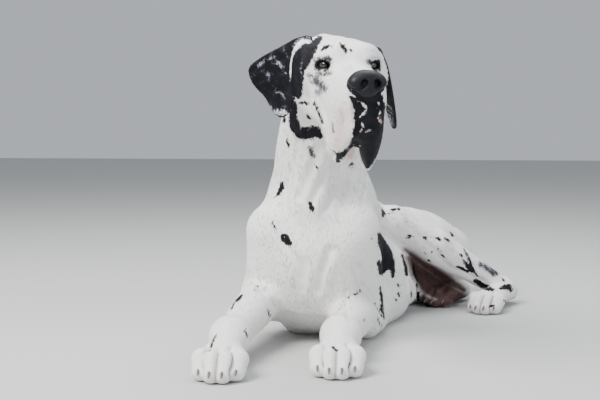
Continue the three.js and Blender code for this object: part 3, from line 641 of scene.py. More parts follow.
def surface_of(field, low, high, step, halvings):
    cubes = cubes_near(field, low, high, step, halvings)
    reach = cubes.max(0) + 3

    def key(c):
        return (c[..., 0] * reach[1] + c[..., 1]) * reach[2] + c[..., 2]

    bits = np.indices((2, 2, 2)).reshape(3, -1).T
    corners = cubes[:, None, :] + bits[None]
    keys, first, back = np.unique(key(corners).ravel(), return_index=True, return_inverse=True)
    places = corners.reshape(-1, 3)[first]
    value = in_chunks(field, low + places * step)[back.ravel()].reshape(-1, 8)
    crossing = np.zeros((len(cubes), 3))
    count = np.zeros(len(cubes))
    for a in range(8):
        for b in range(a + 1, 8):
            if np.abs(bits[a] - bits[b]).sum() != 1:
                continue
            cut = (value[:, a] < 0) != (value[:, b] < 0)
            t = value[:, a] / np.where(cut, value[:, a] - value[:, b], 1)
            crossing += np.where(cut[:, None], bits[a] + t[:, None] * (bits[b] - bits[a]), 0)
            count += cut
    used = count > 0
    points = low + (cubes[used] + crossing[used] / count[used, None]) * step
    cube_keys = key(cubes[used])
    order = np.argsort(cube_keys)

    def find(c):
        k = key(c)
        at = np.minimum(np.searchsorted(cube_keys[order], k), len(order) - 1)
        return np.where(cube_keys[order][at] == k, order[at], -1)

    quads = []
    for axis in range(3):
        far = np.zeros(3, int)
        far[axis] = 1
        end = int(4 * far[0] + 2 * far[1] + far[2])
        side_b, side_c = np.roll(far, 1), np.roll(far, 2)
        cut = (value[used][:, 0] < 0) != (value[used][:, end] < 0)
        base = cubes[used][cut]
        around = (base - side_b - side_c, base - side_c, base, base - side_b)
        ring = np.stack([find(cube) for cube in around], 1)
        outward = value[used][cut][:, 0] < 0
        ring[~outward] = ring[~outward][:, ::-1]
        quads.append(ring[(ring >= 0).all(1)])
    quads = np.concatenate(quads)
    return points, np.concatenate([quads[:, [0, 1, 2]], quads[:, [0, 2, 3]]])


print("mesher ready")


# %% Sliding points on to the skin, and splitting long edges
def slope_of(field, p, e=0.4):
    steps = np.array([[1, -1, -1], [-1, -1, 1], [-1, 1, -1], [1, 1, 1]]) * e
    return sum(in_chunks(field, p + s)[:, None] * s for s in steps) / (4 * e * e)


def settle(field, p, rounds=2, reach=4.0):
    for _ in range(rounds):
        g = slope_of(field, p)
        d = in_chunks(field, p)
        step = d / np.maximum((g**2).sum(1), 0.05)
        p = p - g * np.clip(step, -reach, reach)[:, None]
    return p


def split_long(points, faces, wanted):
    """Every edge longer than it should be gets a point in its middle, and its faces are parted to fit."""
    edges = np.sort(np.stack([faces, np.roll(faces, -1, 1)], 2).reshape(-1, 2), 1)
    unique, back = np.unique(edges, axis=0, return_inverse=True)
    a, b = points[unique[:, 0]], points[unique[:, 1]]
    middle = (a + b) / 2
    long = np.linalg.norm(a - b, axis=1) > wanted(middle)
    number = np.full(len(unique), -1)
    number[long] = len(points) + np.arange(long.sum())
    mid = number[back.ravel()].reshape(-1, 3)
    cuts = (mid >= 0).sum(1)
    turn = np.zeros(len(faces), int)
    for k in range(3):
        turn[(cuts == 1) & (mid[:, k] >= 0)] = k
        turn[(cuts == 2) & (mid[:, (k + 2) % 3] < 0)] = k
    pick = (np.arange(3)[None] + turn[:, None]) % 3
    f, m = np.take_along_axis(faces, pick, 1), np.take_along_axis(mid, pick, 1)
    one, two, three = cuts == 1, cuts == 2, cuts == 3
    parts = [faces[cuts == 0]]
    a, b, c = f[one].T
    parts += [np.stack([a, m[one][:, 0], c], 1), np.stack([m[one][:, 0], b, c], 1)]
    a, b, c = f[two].T
    p, q = m[two][:, 0], m[two][:, 1]
    parts += [np.stack([p, b, q], 1), np.stack([a, p, q], 1), np.stack([a, q, c], 1)]
    a, b, c = f[three].T
    p, q, r = m[three].T
    parts += [np.stack(t, 1) for t in ((a, p, r), (p, b, q), (r, q, c), (p, q, r))]
    return np.vstack([points, middle[long]]), np.concatenate(parts), np.flatnonzero(long).size


print("splitter ready")

# %% Mesh the skin
LOW_CORNER = np.array([-230.0, -560.0, -12.0])
HIGH_CORNER = np.array([500.0, 800.0, 660.0])
STEP = 5.0


def wanted_edge(p):
    """How long an edge may be: short on the face, ears and paws, longer on the trunk."""
    q = from_head(p)
    face = np.linalg.norm((q - [0, -70, -50]) / [1.1, 1.9, 1.5], axis=1)
    eyes = np.minimum(*(np.linalg.norm(q - [s * EYE_SPACING / 2, -6, 0], axis=1) for s in (1, -1)))
    middles = [tips + [0, 40, 20] for _, tips, _ in PAWS.values()]
    paws = np.minimum.reduce([np.linalg.norm(p - middle, axis=1) for middle in middles])
    edge = np.full(len(p), 7.5)
    edge[paws < 90] = 3.4
    edge[face < 115] = 4.2
    edge[face < 88] = 3.0
    edge[eyes < 26] = 1.9
    return edge


skin_points, skin_faces = surface_of(rough_field, LOW_CORNER, HIGH_CORNER, STEP, 3)
skin_points = settle(skin_field, skin_points, 3)
for _ in range(3):
    before = len(skin_points)
    skin_points, skin_faces, added = split_long(skin_points, skin_faces, wanted_edge)
    skin_points[before:] = settle(skin_field, skin_points[before:], 2)
    print("split", added, "edges")
skin_points[:, 2] = np.maximum(skin_points[:, 2], 0.2)
print("skin", len(skin_points), "points,", len(skin_faces), "faces")

# %% [markdown]
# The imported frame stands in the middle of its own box, so the dog's frame has to be shifted into it.
# The left eye is in both, and the difference between its two places is the shift.

# %% From the dog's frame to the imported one
eye_low, eye_high = (np.array(corner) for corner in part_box("eye_left"))
SHIFT = (eye_low + eye_high) / 2 * 1000 - on_head([EYE_SPACING / 2, 0, 0])


def placed(p):
    return (np.asarray(p, float) + SHIFT) / 1000


def make_mesh(name, points, faces, attributes=None):
    mesh = bpy.data.meshes.new(name)
    points = placed(points)
    faces = np.asarray(faces, np.int32)
    mesh.vertices.add(len(points))
    mesh.vertices.foreach_set("co", points.astype(np.float32).ravel())
    mesh.loops.add(faces.size)
    mesh.loops.foreach_set("vertex_index", faces.ravel())
    mesh.polygons.add(len(faces))
    mesh.polygons.foreach_set("loop_start", np.arange(0, faces.size, faces.shape[1], dtype=np.int32))
    mesh.polygons.foreach_set("use_smooth", np.full(len(faces), True))
    mesh.update(calc_edges=True)
    mesh.validate()
    for key, value in (attributes or {}).items():
        mesh.attributes.new(key, "FLOAT", "POINT").data.foreach_set("value", np.asarray(value, np.float32))
    piece = bpy.data.objects.new(name, mesh)
    bpy.context.scene.collection.objects.link(piece)
    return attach(piece, "root")


print("shift", SHIFT.round(2))

# %% [markdown]
# The photograph was taken from low in front of the dog, a little to its left and about 2.4 metres away.
# The camera's place, turn and lens were found by laying known lengths, such as the head's, over the
# picture. A line of sight from there then leads from any place in the photograph to the skin.

# %% The camera, low in front of the dog
CAMERA_PLACE = np.array([290.0, -2376.0, 456.0])
CAMERA_AZIMUTH = 8
CAMERA_PITCH = 3.9
LENS = 66
SENSOR_WIDTH = 36
PHOTO_WIDTH = 600
camera_data = bpy.data.cameras.new("camera")
camera_data.lens = LENS
camera_data.sensor_width = SENSOR_WIDTH
camera_data.clip_start = 0.05
camera = bpy.data.objects.new("camera", camera_data)
bpy.context.scene.collection.objects.link(camera)
camera.location = placed(CAMERA_PLACE)
camera.rotation_euler = (math.radians(90 - CAMERA_PITCH), 0, math.radians(CAMERA_AZIMUTH))
bpy.context.scene.camera = camera
print("camera at", tuple(round(v, 3) for v in camera.location))

# %% Sighting: from a place in the photograph to a place on the skin
PHOTO_MIDDLE = np.array([300.0, 200.0])
FOCAL_PIXELS = LENS / SENSOR_WIDTH * PHOTO_WIDTH
sweep, dip = math.radians(CAMERA_AZIMUTH), math.radians(CAMERA_PITCH)
VIEW = np.array([-math.sin(sweep) * math.cos(dip), math.cos(sweep) * math.cos(dip), -math.sin(dip)])
VIEW_RIGHT = np.array([math.cos(sweep), math.sin(sweep), 0])
VIEW_UP = np.cross(VIEW_RIGHT, VIEW)


def sighted(pixels):
    """Where lines of sight through these places meet the skin, and millimetres a pixel there."""
    aside = (np.asarray(pixels, float)[:, :2] - PHOTO_MIDDLE) / FOCAL_PIXELS
    rays = unit(VIEW + aside[:, :1] * VIEW_RIGHT - aside[:, 1:] * VIEW_UP)
    far = np.full(len(rays), 1700.0)
    best, best_far = np.full(len(rays), 1e6), far.copy()
    for _ in range(70):
        d = skin_field(CAMERA_PLACE + rays * far[:, None])
        better = d < best
        best[better], best_far[better] = d[better], far[better]
        far = np.where((d > 0.3) & (far < 3600), far + np.maximum(d, 0.3) * 0.8, far)
    return settle(skin_field, CAMERA_PLACE + rays * best_far[:, None], 3), best_far / FOCAL_PIXELS


def seen(points):
    """True where nothing stands between the skin and the camera."""
    rays = unit(CAMERA_PLACE - points)
    open_way = np.ones(len(points), bool)
    for out in (9, 18, 30, 50, 80, 120, 170, 240):
        open_way &= skin_field(points + rays * out) > 1
    return open_way


print("one pixel is", sighted([(311, 207)])[1].round(2), "mm on the chest")

# %% [markdown]
# The coat is white with torn black patches. Each patch is a stroke: a few places seen in the photograph
# and the patch's half width there, carried on to the skin by lines of sight. Every point of the skin
# then keeps its distance to the nearest stroke's edge, and the material frays that edge with noise.
# A painted image would be simpler, but it would blur and would fit one view alone.

# %% Black patches on the head, as strokes of x, y and half width in the photograph's pixels
BLACK = [
    # band between eye and ear, cheek, jaw, brow marks, line below the cheek
    [
        (320, 38, 2.5), (316, 43, 3.5), (309, 50, 5), (303, 60, 5.5), (299, 72, 5.2), (298, 84, 4.5),
        (298, 95, 3.6),
    ],
    [(306, 46, 3), (300, 54, 5), (296, 62, 5.5), (294, 72, 4.6), (294, 84, 4), (294.5, 95, 3)],
    [(315, 46, 3), (311, 55, 3), (307, 63, 2.4)],
    [
        (294, 104, 3), (293, 115, 4), (295, 127, 5), (300, 133, 5.5), (308, 133, 6), (315, 131, 5),
        (321, 137, 2),
    ],
    [(340, 44, 0.9), (343, 46, 1.7), (345, 49, 1.5), (346, 52, 0.9)],
    [(322, 50, 1), (325, 47.5, 1.6), (329, 46, 1.1), (332, 46.5, 0.6)],
    [(351, 50.5, 0.8), (351.5, 50.8, 0.8)],
    [(300, 103, 1.1), (305, 102.5, 1.3), (308, 104, 1)],
    [(307, 115, 0.9), (308.5, 117, 1.3), (310, 119.5, 0.8)],
    [(313, 102, 0.5), (317, 110, 0.7), (320, 117, 0.7), (322, 123, 0.5)],
    # muzzle: dark front in three columns, then the lips' edges
    [(352, 98, 2.5), (357, 103, 4), (360, 112, 5.5), (360.5, 124, 6.5), (359, 134, 6.5), (357.5, 142, 5)],
    [
        (360, 97, 4), (370, 99, 6), (371, 112, 7), (370.5, 128, 8), (369, 142, 8), (366, 150, 7),
        (365, 158, 5), (367, 165, 4),
    ],
    [
        (378, 98, 5), (380.5, 106, 4.2), (381, 120, 4.2), (380.5, 133, 4.5), (378, 145, 4.5), (374, 154, 4),
        (370, 162, 3.5),
    ],
    [(355.5, 134, 2.2), (353.5, 141, 2.2), (350.5, 146.5, 1.8)],
    [(332.5, 151.5, 1), (335.5, 156, 3), (337.5, 160.5, 3)],
    [(338.5, 154.5, 2.6), (342, 155.5, 3), (346, 151.5, 1.8)],
]
print(len(BLACK), "black strokes on the head")

# %% Black patches on the neck, chest and forelegs
BLACK += [
    [(284.5, 118, 1.2), (284, 121.5, 1.4)], [(289.5, 117, 0.8), (290, 119, 0.8)],
    [(287, 140, 0.9), (288.5, 145.5, 1.3)],
    [(315.5, 165.5, 1), (316.5, 167.5, 1)], [(349, 167, 0.8), (353, 163.5, 1.2)],
    [(282, 183, 1.4), (281.5, 188, 2.6), (279, 193, 1.6), (276.5, 195, 1)],
    [(279.5, 203.5, 0.6), (279.6, 204, 0.6)],
    [(309.5, 204, 1.8), (311, 207, 2.4), (313, 210, 1.5)],
    [(274, 220, 0.9), (272.5, 222, 1.2)], [(274, 226.5, 0.8), (275.5, 229, 1)],
    [(282, 235.5, 2.2), (285.5, 238.5, 4.4), (289, 242.5, 3.2)],
    [(371.5, 237.5, 0.8), (373, 239, 0.8)], [(291.5, 264, 0.5), (291.6, 265, 0.6)],
    [(278, 273.5, 0.5), (278.1, 274, 0.5)],
    # forelegs
    [(242, 295, 1), (239.5, 297.5, 1.7), (237, 301, 1.2)], [(236, 300, 0.5), (232, 308, 0.7)],
    [(254.5, 290, 0.8), (255.5, 289.5, 0.8)], [(257, 286.5, 0.7), (258, 286.3, 0.7)],
    [(348, 297, 0.5), (353, 295, 0.7), (357, 293, 1), (360.5, 290, 0.7)],
    [(364, 320, 0.8), (364.3, 320.5, 0.8)], [(333, 347, 1.1), (337, 347.5, 0.7)],
    [(217, 334, 0.4), (213, 341, 0.6), (209, 351, 0.4)], [(245, 330, 0.6), (247.5, 337, 0.6)],
    [(268, 310, 0.6), (270, 316, 0.8)], [(376, 303, 0.4), (382, 316, 0.6)],
    [(377, 317, 0.4), (381, 325, 0.5)],
    [(351, 363, 0.6), (349, 368, 0.7)], [(321, 363, 0.7), (321.5, 365, 0.7)],
]
print(len(BLACK), "with the chest and forelegs")

# %% Black patches on the flank, loin and thigh
BLACK += [
    # flank
    [(379, 234, 1.5), (382, 243, 4), (385, 252, 7), (386, 262, 8), (382, 270, 3.5)],
    [(391, 262, 3.5), (392.5, 270, 2.6), (392.5, 276, 1.4)], [(379, 262, 2), (381, 273, 2)],
    [(402, 254.5, 0.9), (404.5, 261, 2), (406, 268, 1.9), (407.5, 275, 1)],
    [(413, 264, 0.6), (415.5, 276, 1.2), (418, 290, 1.6), (418.5, 301, 1)],
    [(380, 287, 0.7), (381.5, 297, 1.2), (382.5, 308, 0.9), (384, 318, 0.5)],
    [(398, 284, 0.6), (398.5, 287, 0.7)], [(398, 293, 1), (399, 296, 0.9)],
    [(395.5, 299, 0.8), (396.5, 300, 0.8)],
    [(411, 292, 0.6), (411.5, 297, 0.6)],
    # loin and thigh
    [(382, 209.5, 1), (384, 212, 2.2), (382.5, 216, 1)],
    [(391, 209.8, 0.7), (396, 208.8, 0.9), (400, 208.8, 0.5)],
    [(389, 213.6, 0.6), (391, 213, 0.7)],
    [(407, 237.5, 1), (409.5, 236, 1.6), (411.5, 235.8, 0.8)], [(424, 238, 1.2), (426, 238, 1.3)],
    [(436, 237.5, 0.9), (438.5, 239, 1.5), (440.5, 240.8, 0.8)],
    [(445, 238.5, 0.9), (447.5, 239.8, 1.2), (449, 241, 0.6)],
    [(450.5, 232.5, 0.6), (453, 236, 0.8)], [(432, 252.5, 1), (432.8, 252, 0.8)],
    [(438, 249.5, 0.8), (439, 249, 0.6)], [(424, 252, 0.5), (424.2, 252.5, 0.5)],
    [(428, 260, 0.9), (430, 261, 0.7)], [(442, 255.5, 0.8), (444, 257, 1)],
    [(459.5, 254, 0.5), (461.5, 256, 0.8)],
    [(464, 249, 0.5), (468, 257, 0.9), (473, 268, 1), (477, 276, 0.6)],
    [(464, 261, 1.2), (468, 266, 2.6), (472, 271, 2)], [(457, 266.5, 1), (462, 269, 1.7), (468, 272.5, 1.3)],
    [(474, 281, 0.9), (480, 284, 2.2), (487, 288, 3), (493, 289.5, 1.2)],
    [(500.5, 288, 0.9), (505, 287, 2.4), (509, 287, 3), (511, 290, 1.8)], [(503, 279, 0.8), (504, 281, 1)],
    [(504, 300, 0.6), (508, 304, 0.9)], [(514, 298, 0.5), (517, 303, 0.7)],
    [(491, 307, 0.7), (493, 305, 0.5)],
    [(423, 303, 1.6), (427, 305, 2), (431, 308, 0.8), (440, 311, 0.5)],
]
print(len(BLACK), "black strokes in all")

# %% White gaps in the muzzle's black, and softer marks with a fourth number for their faded edge
HOLES = [
    [(364, 103.5, 0.3), (366, 107, 0.5), (367, 110, 0.4), (363.5, 113.5, 0.7), (360, 117.2, 0.2)],
    [(357, 101, 0.4), (358.5, 101, 0.2)], [(379, 103.4, 0.3), (379.1, 103.8, 0.3)],
    [(379.5, 108, 0.1), (380.5, 113, 0.2), (378, 118.5, 1), (381, 122, 1.3)],
    [(362, 123, 0.1), (363.5, 127, 0.5), (360, 132, 0.3)],
    [(366, 131.5, 0.6), (370.5, 130.5, 0.8), (373, 132, 0.3)],
]
GREY = [
    [(316, 73, 2, 5), (324, 74.5, 2.5, 5), (331, 72.5, 2, 5)],
    [(311, 75, 4, 5), (317, 81, 6, 6), (323, 88, 5, 8), (318, 92, 4, 6)],
    [(320, 60, 4, 4), (329, 59, 4, 4)], [(369, 62, 4, 4), (377, 64, 3, 3)],
    [(332.5, 123, 1.6, 3), (333.5, 132, 1.6, 3)],
    [(309, 147, 3, 3), (313, 156, 3, 4)], [(313, 46, 3, 4), (309, 55, 3, 4), (306, 66, 3, 4)],
    [(480, 264, 3, 4), (495, 273, 4, 4)], [(352, 146, 2, 3), (346, 151, 3, 3)],
    [(300, 84, 3, 4), (300, 96, 2, 4)],
]
FROST = [
    [(258, 66, 3, 3), (264, 60, 4, 4), (273, 57, 4, 4)], [(262, 71, 2, 3), (268, 72, 3, 4), (270, 80, 2, 4)],
    [(278, 62, 3, 3), (282, 69, 3, 4), (286, 74, 2, 3)], [(283, 48, 2, 3), (288, 57, 2, 3)],
    [(292, 47, 3, 3), (300, 42, 4, 3), (308, 39, 4, 3)], [(275, 88, 3, 5), (284, 98, 3, 5)],
    [(270, 108, 3, 3), (275, 114, 5, 4), (284, 111, 5, 4)],
    [(302, 58, 1, 4), (300, 70, 1.5, 4), (304, 90, 2, 3)],
    [(389, 113, 2, 3), (391, 120, 3, 3), (394, 127, 2, 3)],
]
PINK = [
    [(352.5, 101, 2, 2), (353, 110, 2.5, 2.5), (353, 121, 2, 2.5)], [(378, 119, 3, 2), (381, 123, 2.5, 1.5)],
    [(363, 128, 2.4, 1.5), (359, 134, 2.2, 1.5)], [(367, 131, 2, 1.5), (371, 131, 2, 1.5)],
    [(342, 112, 2, 9), (340, 130, 4, 10), (338, 146, 4, 8)], [(352, 148, 3, 3), (350, 155, 4, 3)],
]
# Dark bare skin between the thighs, with painted shade in that hollow; the last stroke is painted shade on
# the right hind paw
DARK_SKIN_AND_SHADE = [
    [
        (409, 258, 4, 3), (418, 272, 8, 5), (430, 284, 12, 6), (444, 292, 11, 6), (456, 296, 8, 4),
        (464, 298, 5, 3),
    ],
    [(405, 249, 2, 2), (418, 261, 4, 3), (434, 271, 5, 4), (450, 282, 5, 4), (464, 290, 3, 3)],
    [(424, 300, 5, 4), (436, 305, 6, 5), (446, 300, 8, 4)],
]
print(len(GREY), "grey,", len(FROST), "frosted and", len(PINK), "pink marks")

# %% From strokes to distances on the skin
FAR_FROM_INK = -25.0
INK_SPREAD = 0.35
SLANT_REACH = 2.6


def in_photo(p):
    """Where the camera sees each point, in the photograph's pixels."""
    away = p - CAMERA_PLACE
    scale = FOCAL_PIXELS / (away @ VIEW)
    return PHOTO_MIDDLE + np.stack([away @ VIEW_RIGHT * scale, -(away @ VIEW_UP) * scale], 1)


def along_stroke(p, places, radii):
    """How far inside a stroke each point is, positive within it."""
    depth = np.full(len(p), -1e3)
    for a, b, ra, rb in zip(places[:-1], places[1:], radii[:-1], radii[1:]):
        along = b - a
        t = np.clip((p - a) @ along / max(along @ along, 1e-6), 0, 1)
        depth = np.maximum(depth, ra + t * (rb - ra) - np.linalg.norm(p - a - t[:, None] * along, axis=1))
    return depth


def stroke_distance(p, places, radii, reach):
    """The same for the points within reach of a stroke on the skin, with their numbers."""
    low, high = places.min(0) - reach, places.max(0) + reach
    near = np.flatnonzero(((p > low) & (p < high)).all(1))
    return near, along_stroke(p[near], places, radii)


def seen_stroke(rows, spread=0.0):
    """A stroke from the photograph: its places on the skin, its rows there, and millimetres a pixel."""
    places, per_pixel = sighted(rows)
    rows = np.array(rows, float)
    rows[:, 2] += spread
    return places, rows, float(per_pixel.mean())


def seen_distance(p, pixels, stroke, fade=0.0):
    """Its shape is kept as the camera sees it, but it may not run on round a limb."""
    places, rows, per_pixel = stroke
    radii = rows[:, 2] * per_pixel
    reach = radii.max() * SLANT_REACH + 2 * fade + 24
    near, on_skin = stroke_distance(p, places, radii * SLANT_REACH + 4 + fade, reach)
    in_view = along_stroke(pixels[near], rows[:, :2], rows[:, 2]) * per_pixel
    return near, np.minimum(in_view, on_skin)


black_seen = [seen_stroke(rows, INK_SPREAD) for rows in BLACK]
holes_seen = [seen_stroke(rows) for rows in HOLES]
soft_seen = {
    name: [(seen_stroke(rows), float(np.mean([row[3] for row in rows])) * 2.1) for rows in strokes]
    for name, strokes in (("grey", GREY), ("frost", FROST), ("pink", PINK), ("dark_skin_and_shade", DARK_SKIN_AND_SHADE))
}
print("first stroke starts at", black_seen[0][0][0].round(), "mm")

# %% [markdown]
# The photograph shows one side. On the others the patches are made up in the same manner: torn shapes
# that wander over the skin, most of them small, a few as large as the one on the flank.

# %% Patches on the sides that the photograph doesn't show
draw = np.random.default_rng(7)
UNSEEN_PATCHES = 70
LARGEST_PATCH = 34


def wander(place, heading, radius, steps):
    """A stroke that walks over the skin, turning a little at each step."""
    places, radii = [place], [radius * 0.7]
    for _ in range(steps):
        normal = unit(slope_of(skin_field, places[-1][None])[0])
        heading = unit(heading - normal * (heading @ normal) + draw.normal(0, 0.45, 3))
        onward = places[-1] + heading * radius * draw.uniform(0.7, 1.3)
        places.append(settle(skin_field, onward[None], 2)[0])
        radii.append(radius * draw.uniform(0.45, 1.1))
    radii[-1] *= 0.35
    return np.array(places), np.array(radii)


def hidden(places):
    normals = unit(slope_of(skin_field, places))
    turned_away = (unit(CAMERA_PLACE - places) * normals).sum(1) < 0
    return (turned_away | ~seen(places + normals * 3)).all()


def unseen_patches():
    spots = skin_points[draw.integers(0, len(skin_points), 2600)]
    normals = unit(slope_of(skin_field, spots))
    facing = (unit(CAMERA_PLACE - spots) * normals).sum(1)
    free = (facing < -0.05) | ~seen(spots + normals * 3)
    on_trunk = (spots[:, 1] > -60) & (spots[:, 2] > 40)
    free &= (bare_skin(spots) < 3) & (facing < 0.5) & (spots[:, 2] > 14)
    strokes, taken = [], []
    for spot, normal, roomy in zip(spots[free], normals[free], on_trunk[free]):
        share = draw.random()
        radius = LARGEST_PATCH * share**3.2 + 3.5 if roomy else 9 * share**2 + 2.5
        if any(np.linalg.norm(spot - other) < (radius + r) * 1.5 + 22 for other, r in taken):
            continue
        taken.append((spot, radius))
        for _ in range(1 + int(radius / 11)):
            strokes.append(wander(spot, draw.normal(0, 1, 3), radius, 2 + int(radius / 12)))
        if len(taken) == UNSEEN_PATCHES:
            break
    return [stroke for stroke in strokes if hidden(stroke[0])]


black_unseen = unseen_patches()
print(len(black_unseen), "strokes on the unseen sides")


# %% [markdown]
# Loose skin folds at the throat, the elbows and the groin, and it wrinkles on the cheek. Each fold is a
# stroke too, but one that pushes the skin in or out by a smooth bell across its width.

# %% Folds and wrinkles: strokes of x and y, depth out of the skin, and half width in millimetres
FOLDS = [
    # throat
    ([(319, 149), (314, 163), (306, 180), (300, 196)], -6, 10),
    ([(333, 156), (327, 170), (319, 186), (311, 202)], -9, 8),
    ([(344, 166), (340, 180), (333, 196), (326, 210)], -8, 8), ([(355, 170), (352, 186), (346, 204)], -5, 8),
    ([(366, 172), (366, 190), (363, 208)], -3, 9), ([(300, 140), (296, 158), (289, 176)], -3, 10),
    # brisket, elbows and forearms
    ([(331, 250), (326, 262), (321, 276), (318, 290)], -8, 9), ([(306, 262), (303, 276), (303, 290)], -4, 10),
    ([(332, 284), (335, 299), (340, 312)], -7, 6), ([(347, 290), (347, 303), (349, 316)], -4, 6),
    ([(356, 268), (362, 284), (374, 300), (382, 312)], -5, 8), ([(262, 290), (270, 299), (277, 307)], -6, 8),
    ([(250, 276), (262, 282), (275, 284)], -3, 10), ([(286, 246), (296, 262), (300, 278)], -3, 14),
    # thigh, shank and flank
    ([(440, 258), (450, 268), (462, 272), (480, 280), (500, 288)], -6, 7),
    ([(430, 268), (444, 281), (462, 288)], -4, 6), ([(466, 262), (480, 270), (494, 278)], -3, 6),
    ([(396, 214), (408, 228), (424, 244), (438, 256)], -3, 12), ([(383, 230), (392, 238), (401, 246)], -7, 7),
    ([(403, 250), (406, 270), (408, 290)], -4, 9),
    ([(412, 262), (420, 278), (436, 296)], -5, 7), ([(420, 266), (432, 282), (450, 298)], -4, 5),
    ([(410, 272), (418, 288), (428, 300)], -5, 5), ([(432, 274), (446, 290), (458, 296)], -4, 6),
    # cheek, lips and brows
    ([(312, 98), (316, 106), (320, 116), (324, 128), (325, 140)], -2.6, 5),
    ([(336, 100), (334, 112), (338, 124)], -0.9, 4),
    ([(322, 134), (326, 146), (330, 152)], -2, 4), ([(344, 104), (340, 112), (342, 122)], -1.2, 5),
    ([(344, 48), (346, 60), (349, 72)], -2, 8), ([(318, 56), (326, 54), (333, 58)], 1.8, 5),
    ([(317, 73), (325, 76), (333, 73)], -1.3, 3.4), ([(318, 78), (326, 81), (335, 77)], -0.8, 3.4),
    ([(366, 58), (373, 56), (379, 60)], 1.6, 5),
]


def toe_gaps():
    """Lines between neighbouring toes, from the floor in front, over the paw and back to the toes' roots."""
    gaps = []
    for start, tips, width in PAWS.values():
        for i in range(3):
            one, two = toe_line(start, tips, width, i), toe_line(start, tips, width, i + 1)
            front = mix(one["tip"], two["tip"], 0.5) + one["along"] * one["r"] * 0.7
            line = [front * [1, 1, 0.3], front + [0, 0, 4]]
            tip, knuckle, root = (mix(one[name], two[name], 0.5) for name in ("tip", "knuckle", "root"))
            line += [tip + [0, 0, 14], knuckle + [0, 0, 15]]
            line.append(mix(root, knuckle, 0.45) + [0, 0, 18])
            gaps.append(settle(skin_field, curve(line, 16), 3))
    return gaps


TOE_GAP_DEPTH = 5.5
TOE_GAP_WIDTH = 4.2
toe_gap_lines = toe_gaps()
fold_lines = [(curve(sighted(pixels)[0], 4 * len(pixels)), out, width) for pixels, out, width in FOLDS]
fold_lines += [(line, -TOE_GAP_DEPTH, TOE_GAP_WIDTH) for line in toe_gap_lines]


def folded(p):
    """The skin's height over its smooth shape, from every fold."""
    height = np.zeros(len(p))
    for line, out, width in fold_lines:
        near, depth = stroke_distance(p, line, np.zeros(len(line)), 3 * width)
        height[near] += out * np.exp(-((depth / width) ** 2))
    return height


bare_points = skin_points
fold_height = folded(skin_points)
skin_normals = unit(slope_of(skin_field, skin_points))
loose = np.clip((skin_points[:, 2] - 8) / 14, 0, 1)
skin_points = skin_points + skin_normals * (np.minimum(fold_height, 1.2) * loose)[:, None]
print("folds between", fold_height.min().round(1), "and", fold_height.max().round(1), "mm")

# %% Every point's markings
LID_OPENINGS = [in_head(opening) for opening in both(lid_opening)]
on_nose_pad = in_head(nose_pad())


def fade_in(depth, fade):
    share = np.clip(0.5 + depth / (2 * fade), 0, 1)
    return share * share * (3 - 2 * share)


SOFT_MARKS = ("grey", "frost", "pink", "dark_skin_and_shade")
EAR_REACH = 12


def ink_at(p, pixels, on_ear, lids, lower_lid):
    """How far inside black each point is: patches, ears, lids and the nose's edge."""
    ink = np.full(len(p), FAR_FROM_INK)
    for stroke in black_seen:
        near, depth = seen_distance(p, pixels, stroke)
        ink[near] = np.maximum(ink[near], depth)
    for places, radii in black_unseen:
        near, depth = stroke_distance(p, places, radii, radii.max() + 26)
        ink[near] = np.maximum(ink[near], depth)
    ink = np.maximum(ink, on_ear)
    for stroke in holes_seen:
        near, depth = seen_distance(p, pixels, stroke)
        ink[near] = np.minimum(ink[near], -depth)
    ink = np.maximum(ink, np.clip(5.6 - lids, FAR_FROM_INK, 6)) - 5 * lower_lid
    return np.maximum(ink, np.clip(3.5 - on_nose_pad(p), FAR_FROM_INK, 6))


def soft_at(p, pixels, on_ear, lids, lower_lid):
    """The strength of grey, frost, pink, and of dark bare skin with painted shade, at each point."""
    soft = {name: np.zeros(len(p)) for name in SOFT_MARKS}
    soft["frost"] = np.clip(on_ear / 8, 0, 1) * 0.24
    for name, strokes in soft_seen.items():
        strength = 0.66 if name == "frost" else 1.0
        for stroke, fade in strokes:
            near, depth = seen_distance(p, pixels, stroke, fade)
            soft[name][near] = np.maximum(soft[name][near], strength * fade_in(depth, fade))
    # Painted shade between the toes, added to the dark skin mark
    for line in toe_gap_lines:
        near, depth = stroke_distance(p, line[:-3], np.full(len(line) - 3, 1.6), 14)
        soft["dark_skin_and_shade"][near] = np.maximum(soft["dark_skin_and_shade"][near], 0.8 * fade_in(depth, 1.8))
    round_eye = 0.8 * np.clip(1 - (lids - 4) / 15, 0, 1)
    soft["grey"] = np.maximum.reduce([soft["grey"], round_eye, 0.5 * lower_lid])
    return soft


def markings_at(p):
    pixels = in_photo(p)
    ears = np.minimum(in_chunks(ear_left, p), in_chunks(ear_right, p))
    on_ear = np.clip((in_chunks(bare_skin, p) - ears) * 0.9 - 1, FAR_FROM_INK, 9)
    on_ear = np.where(ears < EAR_REACH, on_ear, FAR_FROM_INK)
    lids = np.minimum(*(opening(p) for opening in LID_OPENINGS))
    lower_lid = fade_in(3.0 - lids, 1.5) * fade_in(-6.5 - from_head(p)[:, 2], 2.0)
    places = (p, pixels, on_ear, lids, lower_lid)
    return {"ink": ink_at(*places), **soft_at(*places)}


skin_marks = markings_at(bare_points)
print("black on", round(100 * float((skin_marks["ink"] > 0).mean())), "% of the skin's points")
